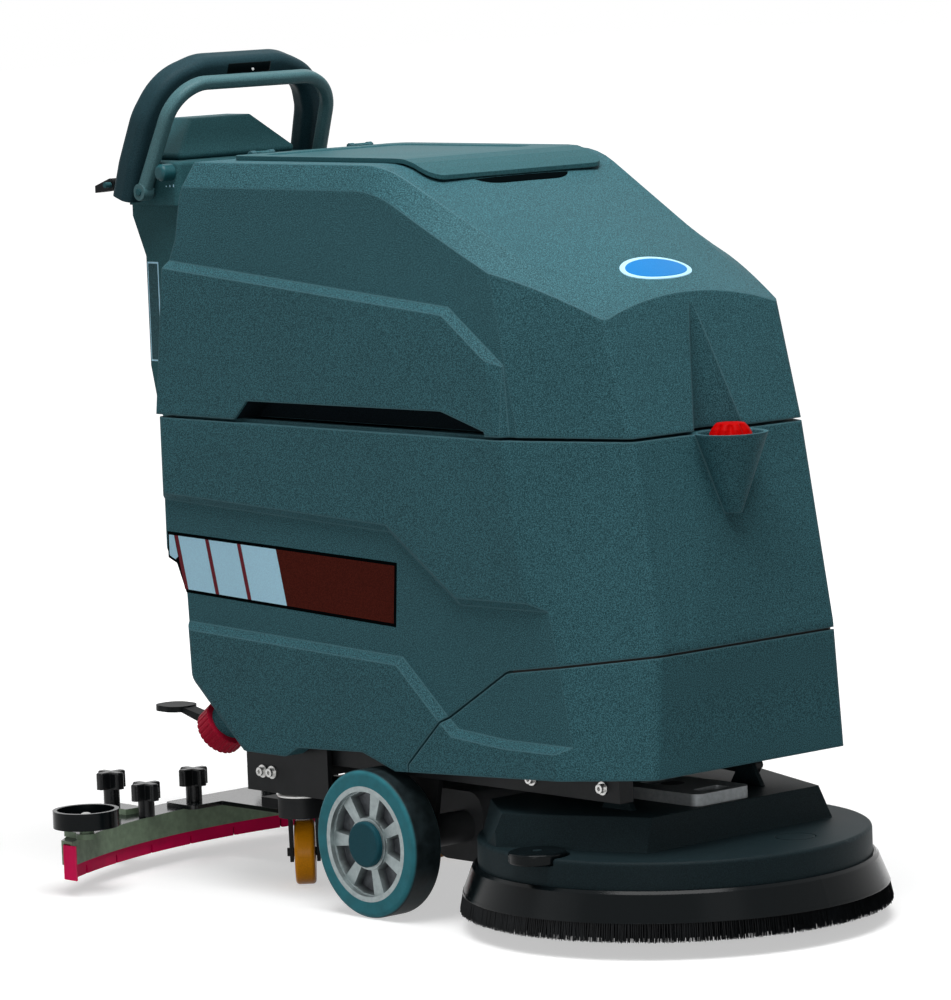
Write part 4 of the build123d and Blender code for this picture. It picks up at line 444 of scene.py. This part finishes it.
def capped(bm, rows):
    """Closed form through rings of points, with a flat cap at each end."""
    bridge(bm, rows, around=True)
    bm.faces.new(rows[0][::-1])
    bm.faces.new(rows[-1])
    turn_outward(bm)


def bar(bm, rows):
    """Closed bar whose long edges are the rows."""
    bridge(bm, rows, closed=True)
    for end in (0, -1):
        bm.faces.new([row[end] for row in rows])
    turn_outward(bm)


def plate_maker(points, normal, thick):
    """Flat plate through points, thick along normal."""
    def make(bm):
        lower = vertices(bm, points)
        upper = [bm.verts.new(place(*point) + Vector(normal) * thick / MM_PER_M) for point in points]
        bm.faces.new(lower[::-1])
        bm.faces.new(upper)
        bridge(bm, [lower, upper], around=True)
        turn_outward(bm)
    return make


def right_panel(x_range, z_range, y, thick):
    """Upright rectangle at y that faces right."""
    (rear, front), (low, high) = x_range, z_range
    corners = [(rear, y, low), (front, y, low), (front, y, high), (rear, y, high)]
    return plate_maker(corners, RIGHTWARD, thick)


# decal in the recess of the right side: outline, white slanted blocks, thin stripes and a plain dark block
FIELD_Y = -212.0
FILM_THICK = 0.15
OUTLINE_LIFT = 0.05
PRINT_LIFT = 0.2
BORDER = 4.5
DECAL = [(-424, 492.5), (54, 478.5), (47.5, 392), (-388, 409.5), (-406, 449), (-424, 456)]
DECAL_REAR_TOP = DECAL[0]
DECAL_REAR_BOTTOM = DECAL[3]
TOP_FALL = 0.0293       # fall of the upper edge for each unit forward
BOTTOM_FALL = 0.0402    # fall of the lower edge for each unit forward
SLANT = 0.245           # how far a slanted edge runs forward for each unit down
SLANT_RUN = 20          # about how far forward a slanted edge ends
TIP = [(-421, 487.8), (-410, 487.4), (-403, 458), (-409, 454), (-421, 459)]
WHITE_SPANS = ((-401, -343), (-335, -275), (-267, -193))
STRIPE_REARS = (-409, -343, -275)
STRIPE_WIDTH = 8
BLOCK_REAR = -193
BLOCK_TOP_FRONT = 49
BLOCK_BOTTOM_FRONT = 43


def decal_top(x):
    """Upper edge of the print inside the outline."""
    return DECAL_REAR_TOP[1] - (x - DECAL_REAR_TOP[0]) * TOP_FALL - BORDER


def decal_bottom(x):
    """Lower edge of the print inside the outline."""
    return DECAL_REAR_BOTTOM[1] - (x - DECAL_REAR_BOTTOM[0]) * BOTTOM_FALL + BORDER


def slanted_edge(x):
    """Upper and lower end of a slanted edge that starts at x on the upper edge."""
    top = decal_top(x)
    bottom = decal_bottom(x + SLANT_RUN)
    return (x, top), (x + (top - bottom) * SLANT, bottom)


def slanted(rear, front):
    """Corners of a slanted block between two places on the upper edge."""
    rear_top, rear_bottom = slanted_edge(rear)
    front_top, front_bottom = slanted_edge(front)
    return [rear_top, front_top, front_bottom, rear_bottom]


def film(name, corners, lift, material):
    """Thin film on the recess, standing lift proud of it."""
    points = [(x, FIELD_Y - lift, z) for x, z in corners]
    piece(name, plate_maker(points, RIGHTWARD, FILM_THICK), material, "chassis")


film("decal_outline", DECAL, OUTLINE_LIFT, recess_dark)
film("decal_tip", TIP, PRINT_LIFT, white_film)
for i, (rear, front) in enumerate(WHITE_SPANS):
    film(f"decal_white_{i}", slanted(rear, front), PRINT_LIFT, white_film)
for i, rear in enumerate(STRIPE_REARS):
    film(f"decal_stripe_{i}", slanted(rear, rear + STRIPE_WIDTH), PRINT_LIFT, stripe_film)
block_top, block_bottom = slanted_edge(BLOCK_REAR)
BLOCK = [
    block_top,
    (BLOCK_TOP_FRONT, decal_top(BLOCK_TOP_FRONT)),
    (BLOCK_BOTTOM_FRONT, decal_bottom(BLOCK_BOTTOM_FRONT)),
    block_bottom,
]
film("decal_block", BLOCK, PRINT_LIFT, brown_film)

# front slope of the hood, which carries the badge and the finger recess
HOOD_REAR_X = 0.5
HOOD_FRONT_X = 460.0
HOOD_REAR_HALF = 198
HOOD_FRONT_HALF = 147
HOOD_EDGE_X = 411       # a point on the slope's straight edge
HOOD_EDGE_Z = 808
HOOD_RISE = 195         # the slope rises this much over the run behind that point
HOOD_RUN = 371
HOOD_CROWN = 24         # height of the crown at the front
LEVEL_SHARE = 0.904     # level length of a unit length up the crown


def hood_z(x, y):
    """Height of the hood's front slope, crowned across and fading to flat at the rear."""
    along = (x - HOOD_REAR_X) / (HOOD_FRONT_X - HOOD_REAR_X)
    half = HOOD_REAR_HALF + (HOOD_FRONT_HALF - HOOD_REAR_HALF) * along
    straight = HOOD_EDGE_Z + (HOOD_EDGE_X - x) * HOOD_RISE / HOOD_RUN
    return straight + HOOD_CROWN * along * (1 - (y / half) ** 2)


# plain oval badge that follows the crown
BADGE_X = 346.0
BADGE_FIELD_X = 346.6
OVAL_RINGS = 6
OVAL_SEGMENTS = 72
OVAL_EDGE = 0.3         # height of the softened edge
OVAL_INSET = 0.04       # width of the softened edge as a share of the oval
OVAL_FILL = 0.9         # share of the oval that the inner rings cover


def oval_maker(centre_x, half_long, half_wide, low, high):
    """Oval that lies on the hood, from low to high above it."""
    levels = [(low, 1.0), (high - OVAL_EDGE, 1.0)]
    levels += [(high, 1.0 - OVAL_INSET - k / OVAL_RINGS * OVAL_FILL) for k in range(OVAL_RINGS)]

    def make(bm):
        rows = []
        for height, grow in levels:
            points = []
            for turn in ring_turns(OVAL_SEGMENTS):
                x = centre_x + half_long * grow * math.cos(turn) * LEVEL_SHARE
                y = half_wide * grow * math.sin(turn)
                points.append((x, y, hood_z(x, y) + height))
            rows.append(vertices(bm, points))
        bridge(bm, rows, around=True)
        bm.faces.new(rows[-1])
        turn_outward(bm)
    return make


badge_rim = oval_maker(BADGE_X, half_long=30, half_wide=60, low=-0.5, high=1.4)
badge_field = oval_maker(BADGE_FIELD_X, half_long=24.5, half_wide=52, low=0.5, high=1.9)
piece("badge_rim", badge_rim, white_film, "recovery")
piece("badge_field", badge_field, blue_film, "recovery")

# painted shade of the finger recess in front of the lid's front edge: a dark film on the hood
RECESS_X = 95.3
RECESS_HALF = 84.0
RECESS_REACH = 15.0
RECESS_LIP = 0.5        # width that is left at both ends
RECESS_ROUNDING = 6     # power that rounds both ends
RECESS_LOW = -0.6
RECESS_HIGH = 0.3
RECESS_COLUMNS = 28


def recess_shade_film(bm):
    """Dark film on the hood, painted as the recess's shade, widest in the middle and rounded at both ends.
    """
    rows = []
    for k in range(RECESS_COLUMNS + 1):
        across = 2 * k / RECESS_COLUMNS - 1
        y = RECESS_HALF * across
        front_x = RECESS_X + RECESS_REACH * (1 - abs(across) ** RECESS_ROUNDING) + RECESS_LIP
        section = (
            (RECESS_X, RECESS_LOW), (RECESS_X, RECESS_HIGH), (front_x, RECESS_HIGH), (front_x, RECESS_LOW),
        )
        rows.append(vertices(bm, [(x, y, hood_z(x, y) + lift) for x, lift in section]))
    capped(bm, rows)


piece("lid_finger_recess", recess_shade_film, recess_dark, "recovery")

# dark film painted as the shade inside the hand slot, open below: on the slot's back and its rear, upper and
# front walls
HAND_SLOT = [(-257.2, 657), (-231, 682), (163, 685), (245, 662), (246.6, 657)]
SLOT_LIP_Y = -218.0
SLOT_BACK_Y = -176.0
SHADE_FILM_GAP = 0.2
SHADE_FILM_THICK = 0.4
SHADE_FILM_END_Y = SLOT_BACK_Y - 1


def slot_shade_film(bm):
    back = [(x, SLOT_BACK_Y - SHADE_FILM_GAP, z - SHADE_FILM_THICK) for x, z in HAND_SLOT]
    plate_maker(back, RIGHTWARD, SHADE_FILM_THICK)(bm)
    for (ax, az), (bx, bz) in zip(HAND_SLOT, HAND_SLOT[1:]):
        span = math.hypot(bx - ax, bz - az)
        inward = Vector(((bz - az) / span, 0, (ax - bx) / span))
        wall = [(ax, SLOT_LIP_Y, az), (bx, SLOT_LIP_Y, bz), (bx, SHADE_FILM_END_Y, bz), (ax, SHADE_FILM_END_Y, az)]
        shifted = [tuple(Vector(point) + inward * SHADE_FILM_GAP) for point in wall]
        plate_maker(shifted, inward, SHADE_FILM_THICK)(bm)


piece("hand_slot_liner", slot_shade_film, slot_dark, "recovery")

# dark strip behind the upper seam of the front cover
SEAM = [(268, 208, 347.8), (360, 208, 360.4), (485.5, 160.5, 377.5), (490.5, 152, 378.7)]
SEAM_PATH = [(x, -y, z) for x, y, z in SEAM] + SEAM[::-1]
SEAM_DOWN = -3
SEAM_UP = 6
SEAM_THICK = 1.5


def seam_strip(bm):
    section = ((0.0, SEAM_DOWN), (0.0, SEAM_UP), (SEAM_THICK, SEAM_UP), (SEAM_THICK, SEAM_DOWN))
    rows = []
    for inset, rise in section:
        points = [(x - inset, y - math.copysign(inset, y), z + rise) for x, y, z in SEAM_PATH]
        rows.append(vertices(bm, points))
    bar(bm, rows)


piece("cover_seam_strip", seam_strip, seal, "chassis")

# blank label on the column's right face
LABEL_Y = -120.0
LABEL_RIM_X = (-556, -532)
LABEL_RIM_Z = (716, 856)
LABEL_RIM_THICK = 0.3
LABEL_FIELD_X = (-554, -534)
LABEL_FIELD_Z = (718.5, 853.5)
LABEL_FIELD_THICK = 0.2
label_rim = right_panel(LABEL_RIM_X, LABEL_RIM_Z, LABEL_Y, LABEL_RIM_THICK)
label_field = right_panel(LABEL_FIELD_X, LABEL_FIELD_Z, LABEL_Y - LABEL_RIM_THICK, LABEL_FIELD_THICK)
piece("label_rim", label_rim, white_film, "chassis")
piece("label_field", label_field, label_film, "chassis")

# window with a small lamp on the hoop's top bar
HOOP_LEAN = math.radians(19)
HOOP_UP = Vector((math.sin(HOOP_LEAN), 0, math.cos(HOOP_LEAN)))
HOOP_OUT = Vector((math.cos(HOOP_LEAN), 0, -math.sin(HOOP_LEAN)))
HOOP_FOOT = Vector((-548, 0, 948))
WINDOW_RISE = 190.5     # up the hoop from its foot
WINDOW_OUT = 18.45      # out to the bar's face
WINDOW_RIGHT = -31
WINDOW_LEFT = 46
WINDOW_HALF = 7
WINDOW_THICK = 0.5
LAMP_Y = 15
LAMP_RISE = -3
LAMP_LIFT = 0.0006      # metres
LAMP_RADIUS = 0.0022    # metres
LAMP_FLATNESS = 0.35
LAMP_SEGMENTS = 16
LAMP_RINGS = 8
window_middle = HOOP_FOOT + HOOP_UP * WINDOW_RISE + HOOP_OUT * WINDOW_OUT


def on_window(y, rise):
    """Point on the window's plane, rise up the hoop from its middle."""
    point = window_middle + HOOP_UP * rise
    return (point.x, y, point.z)


def lamp(bm):
    centre = place(*on_window(LAMP_Y, LAMP_RISE)) + HOOP_OUT * LAMP_LIFT
    bmesh.ops.create_uvsphere(
        bm, u_segments=LAMP_SEGMENTS, v_segments=LAMP_RINGS, radius=LAMP_RADIUS,
        matrix=Matrix.Translation(centre) @ Matrix.Diagonal((LAMP_FLATNESS, 1, 1, 1)),
    )


WINDOW = [
    on_window(WINDOW_RIGHT, -WINDOW_HALF), on_window(WINDOW_LEFT, -WINDOW_HALF),
    on_window(WINDOW_LEFT, WINDOW_HALF), on_window(WINDOW_RIGHT, WINDOW_HALF),
]
piece("hoop_window", plate_maker(WINDOW, HOOP_OUT, WINDOW_THICK), gloss, "chassis")
piece("hoop_lamp", lamp, lamp_white, "chassis")

# filler cap with a lobed grip on its flange and plug; rows of rise, radius and depth of the flutes
CAP_X = 474.0
CAP_RISE = 26.0         # from the flange's underside to the top
CAP_LOBES = 8
CAP_SEGMENTS = 96
CAP_PROFILE = [
    (-12, 23.7, 0), (-0.02, 23.7, 0), (0, 30.4, 0), (0.8, 31, 0), (3.2, 31, 0), (4, 30.2, 0), (4.2, 30, 0),
    (7, 29.8, 0.04), (12, 28.8, 0.1), (18, 25.8, 0.16), (22, 22.6, 0.18), (24.8, 20, 0.14), (25.8, 18, 0.08),
    (26, 15, 0.04),
]


def cap_grip(bm):
    """Rings up the cap; the flutes are pressed into the grip by a share of its radius."""
    flange_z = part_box("filler_cap")[1][2] * MM_PER_M - CAP_RISE
    rows = []
    for rise, radius, flute in CAP_PROFILE:
        points = []
        for turn in ring_turns(CAP_SEGMENTS):
            r = radius * (1 - flute * (0.5 + 0.5 * math.cos(CAP_LOBES * turn)) ** 2)
            points.append((CAP_X + r * math.cos(turn), r * math.sin(turn), flange_z + rise))
        rows.append(vertices(bm, points))
    capped(bm, rows)


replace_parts(piece("filler_cap_grip", cap_grip, red, "filler"), "filler_cap")

# dark strip behind the slots of the front blade
STRIP_CENTRE_X = 215.8
STRIP_RADIUS = 783.9
STRIP_THICK = 1
STRIP_LOW = 23
STRIP_HIGH = 40.5
STRIP_TURN = 0.48       # radians to each side
STRIP_SPANS = 60


def slot_strip(bm):
    inner, outer = STRIP_RADIUS, STRIP_RADIUS + STRIP_THICK
    turns = [STRIP_TURN * (2 * i / STRIP_SPANS - 1) for i in range(STRIP_SPANS + 1)]
    rows = []
    for radius, z in ((inner, STRIP_LOW), (inner, STRIP_HIGH), (outer, STRIP_HIGH), (outer, STRIP_LOW)):
        points = [(STRIP_CENTRE_X - radius * math.cos(t), radius * math.sin(t), z) for t in turns]
        rows.append(vertices(bm, points))
    bar(bm, rows)


piece("blade_slot_strip", slot_strip, seal, "squeegee")

# tick marks under the flow knob, each a little taller than the one behind it
MARK_Y = -139.2
MARK_REARS = (-484, -476, -468)
MARK_WIDTH = 2
MARK_LOW = 963
MARK_HEIGHT = 2
MARK_THICK = 0.2
for i, rear in enumerate(MARK_REARS):
    mark = right_panel((rear, rear + MARK_WIDTH), (MARK_LOW, MARK_LOW + MARK_HEIGHT + i), MARK_Y, MARK_THICK)
    piece(f"flow_mark_{i}", mark, white_film, "chassis")

# turned pieces: bearing rings of the casters and the screws on the end rollers' pins, as radius and height
TURNED_SEGMENTS = 48
BEARING = [(30, 129), (34.6, 129), (35.8, 131.5), (34.6, 134), (30, 134)]
SCREW = [
    (1, 104.4), (11, 104.4), (11.4, 105), (11, 105.8), (7.4, 106), (7.4, 108.4), (6.4, 110.2), (4, 111.2),
    (1, 111.5),
]
CASTER_X = -250.0
CASTER_Y = 135.0
ROLLER_X = -472.0
ROLLER_Y = 340.0


def turned_maker(x, y, profile):
    """Profile turned round an upright axis through x, y."""
    def make(bm):
        turns = ring_turns(TURNED_SEGMENTS)
        rows = []
        for radius, z in profile:
            points = [(x + radius * math.cos(t), y + radius * math.sin(t), z) for t in turns]
            rows.append(vertices(bm, points))
        capped(bm, rows)
    return make


for hand, way in HANDS.items():
    bearing = turned_maker(CASTER_X, way * CASTER_Y, BEARING)
    screw = turned_maker(ROLLER_X, way * ROLLER_Y, SCREW)
    piece(f"caster_bearing_{hand}", bearing, steel, f"swivel_{hand}")
    piece(f"roller_screw_{hand}", screw, steel, "squeegee")

# strands of the deck's skirt and of the disc brush, in rings round the deck's centre
DECK_X = 344
BACKING_SEGMENTS = 120
STRAND_SIDES = 3
STRAND_TAPER = 0.6
SKIRT_SEED = 7
SKIRT_ROWS = 8
SKIRT_COUNT = 560
SKIRT_PHASE = 0.37      # share of a gap by which each row is turned from the last
SKIRT_SCATTER = 0.25    # share of a gap
SKIRT_FOOT_RADIUS = 270
SKIRT_FOOT_STEP = 1.4   # from row to row
SKIRT_FOOT_Z = 51
SKIRT_TIP_RADIUS = 273.5
SKIRT_TIP_STEP = 1.6    # from row to row
SKIRT_TIP_SPREAD = 1.2
SKIRT_TIP_Z = 22
SKIRT_UNEVEN = 2.0      # how much shorter a strand may be
SKIRT_BEND = 0.004      # radians
SKIRT_WIDTH = 0.0009    # metres
BRUSH_SEED = 11
BRUSH_ROWS = 3
BRUSH_TUFTS = 44
TUFT_STRANDS = 14
TUFT_HALF = 3
BRUSH_RADIUS = 244
BRUSH_ROW_GAP = 26
BRUSH_FOOT_INSET = 1
BRUSH_FOOT_Z = 48
BRUSH_TIP_SPREAD = 2
BRUSH_TIP_Z = 20
BRUSH_UNEVEN = 1.5      # how much shorter a strand may be
BRUSH_BEND = 0.008      # radians
BRUSH_WIDTH = 0.0007    # metres


def spread(half):
    """Random number between -half and half."""
    return random.uniform(-half, half)


def on_deck(radius, turn, z):
    return (DECK_X + radius * math.cos(turn), radius * math.sin(turn), z)


def strand(bm, foot, tip, width):
    """Tapered strand between two points, width in metres."""
    foot, tip = place(*foot), place(*tip)
    along = (tip - foot).normalized()
    across = along.orthogonal().normalized()
    other = along.cross(across)
    rows = []
    for end, reach in ((foot, width), (tip, width * STRAND_TAPER)):
        row = []
        for turn in ring_turns(STRAND_SIDES):
            row.append(bm.verts.new(end + (across * math.cos(turn) + other * math.sin(turn)) * reach))
        rows.append(row)
    bridge(bm, rows, around=True)
    bm.faces.new(rows[-1])


def backing(bm, inner, outer, low, high):
    """Ring that the strands stand in."""
    rows = []
    for radius, z in ((inner, low), (outer, low), (outer, high), (inner, high)):
        rows.append(vertices(bm, [on_deck(radius, turn, z) for turn in ring_turns(BACKING_SEGMENTS)]))
    bridge(bm, rows, around=True, closed=True)


def skirt(bm):
    """Dense rows of strands that flare outward below the deck's ring."""
    random.seed(SKIRT_SEED)
    backing(bm, inner=265, outer=273.8, low=50, high=58)
    backing(bm, inner=267.5, outer=269, low=26, high=51)
    for row in range(SKIRT_ROWS):
        for i in range(SKIRT_COUNT):
            turn = 2 * math.pi * (i + row * SKIRT_PHASE + spread(SKIRT_SCATTER)) / SKIRT_COUNT
            tip_radius = SKIRT_TIP_RADIUS + row * SKIRT_TIP_STEP + spread(SKIRT_TIP_SPREAD)
            tip_turn = turn + spread(SKIRT_BEND)
            tip_z = SKIRT_TIP_Z + random.uniform(0, SKIRT_UNEVEN)
            foot = on_deck(SKIRT_FOOT_RADIUS + row * SKIRT_FOOT_STEP, turn, SKIRT_FOOT_Z)
            strand(bm, foot, on_deck(tip_radius, tip_turn, tip_z), SKIRT_WIDTH)


def brush(bm):
    """Rings of tufts under the brush plate."""
    random.seed(BRUSH_SEED)
    backing(bm, inner=160, outer=245, low=47, high=50)
    for row in range(BRUSH_ROWS):
        row_radius = BRUSH_RADIUS - row * BRUSH_ROW_GAP
        for i in range(BRUSH_TUFTS):
            tuft_turn = 2 * math.pi * (i + row / 2) / BRUSH_TUFTS
            for _ in range(TUFT_STRANDS):
                radius = row_radius + spread(TUFT_HALF)
                turn = tuft_turn + spread(TUFT_HALF) / row_radius
                tip_radius = radius + spread(BRUSH_TIP_SPREAD)
                tip_turn = turn + spread(BRUSH_BEND)
                tip_z = BRUSH_TIP_Z + random.uniform(0, BRUSH_UNEVEN)
                foot = on_deck(radius - BRUSH_FOOT_INSET, turn, BRUSH_FOOT_Z)
                strand(bm, foot, on_deck(tip_radius, tip_turn, tip_z), BRUSH_WIDTH)


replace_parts(piece("skirt_strands", skirt, bristle, "deck"), "skirt_bristles")
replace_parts(piece("brush_strands", brush, bristle, "brush"), "brush_bristles")


# floor, light and camera, in metres
def background_rays(ns, ls):
    """1 for the rays that show the background: camera, glossy and transmission rays."""
    path = ns.new("ShaderNodeLightPath")
    total = path.outputs["Is Camera Ray"]
    for kind in ("Is Glossy Ray", "Is Transmission Ray"):
        either = ns.new("ShaderNodeMath")
        either.operation = "MAXIMUM"
        ls.new(total, either.inputs[0])
        ls.new(path.outputs[kind], either.inputs[1])
        total = either.outputs[0]
    return total


def floor_material():
    """Pale to the rays that show the background, with the shadow kept, and mid grey to the others."""
    material, ns, ls, bsdf = shader("floor_pale", grey(0.3), rough=0.9, specular=0.0)
    tone = ramp(ns, ls, noise(ns, ls, scale=2.0), [(0.3, grey(0.29)), (0.7, grey(0.31))])
    ls.new(tone, bsdf.inputs["Base Color"])
    pale = ns.new("ShaderNodeBsdfDiffuse")
    pale.inputs["Color"].default_value = (*grey(0.62), 1)
    coord = ns.new("ShaderNodeTexCoord")
    away = ns.new("ShaderNodeVectorMath")
    away.operation = "LENGTH"
    ls.new(coord.outputs["Object"], away.inputs[0])
    emission = ns.new("ShaderNodeEmission")
    strength = map_range(ns, ls, away.outputs["Value"], source=(0.9, 2.6), target=(0.5, 1.0))
    ls.new(strength, emission.inputs["Strength"])
    bright = ns.new("ShaderNodeAddShader")
    ls.new(pale.outputs[0], bright.inputs[0])
    ls.new(emission.outputs[0], bright.inputs[1])
    chosen = ns.new("ShaderNodeMixShader")
    ls.new(background_rays(ns, ls), chosen.inputs[0])
    ls.new(bsdf.outputs[0], chosen.inputs[1])
    ls.new(bright.outputs[0], chosen.inputs[2])
    ls.new(chosen.outputs[0], ns["Material Output"].inputs["Surface"])
    return material


FLOOR_SIZE = 60
FLOOR_Z = -0.0005
bpy.ops.mesh.primitive_plane_add(size=FLOOR_SIZE, location=(0, 0, FLOOR_Z))
floor = bpy.context.object
floor.name = "floor"
floor.data.materials.append(floor_material())

WORLD_LEVEL = (0.15, 1.0)         # strength for the light on the object, and for the background
world = bpy.data.worlds.new("studio")
scene.world = world
world.use_nodes = True
world_nodes, world_links = world.node_tree.nodes, world.node_tree.links
background = world_nodes["Background"]
background.inputs["Color"].default_value = (1, 1, 1, 1)
world_rays = background_rays(world_nodes, world_links)
world_strength = map_range(world_nodes, world_links, world_rays, target=WORLD_LEVEL)
world_links.new(world_strength, background.inputs["Strength"])


def aimed(eye, target):
    """Turn that points a light or camera at eye towards target."""
    return (Vector(target) - Vector(eye)).to_track_quat("-Z", "Y")


def softbox(name, at, to, size, watts):
    """Rectangular area light."""
    light = bpy.data.lights.new(name, "AREA")
    light.shape = "RECTANGLE"
    light.size, light.size_y = size
    light.energy = watts
    light_object = bpy.data.objects.new(name, light)
    scene.collection.objects.link(light_object)
    light_object.location = at
    light_object.rotation_euler = aimed(at, to).to_euler()


softbox("key", at=(0.6, -0.5, 3.7), to=(0, 0, 0.5), size=(2.6, 2.6), watts=160)
softbox("front", at=(4.2, -1.2, 2.4), to=(0.2, 0, 0.5), size=(1.6, 1.6), watts=4)
softbox("fill", at=(-1.6, -4.4, 1.6), to=(-0.2, 0, 0.5), size=(2.2, 1.6), watts=8)
softbox("low", at=(2.6, -3.6, 0.6), to=(-0.35, -0.25, 0.15), size=(1.6, 0.8), watts=27)

CAMERA_EYE = (5.67308, -5.13553, 1.37484)
CAMERA_AIM = (0.10018, -0.10098, 0.55277)
CAMERA_ROLL = math.radians(-2.194)
camera = bpy.data.cameras.new("camera")
camera.sensor_width = 36.0
camera.lens = 204.73
camera.clip_end = 100
camera_object = bpy.data.objects.new("camera", camera)
scene.collection.objects.link(camera_object)
camera_object.location = CAMERA_EYE
roll = Matrix.Rotation(CAMERA_ROLL, 3, "Z").to_quaternion()
camera_object.rotation_euler = (aimed(CAMERA_EYE, CAMERA_AIM) @ roll).to_euler()
scene.camera = camera_object

scene.view_settings.view_transform = "Standard"
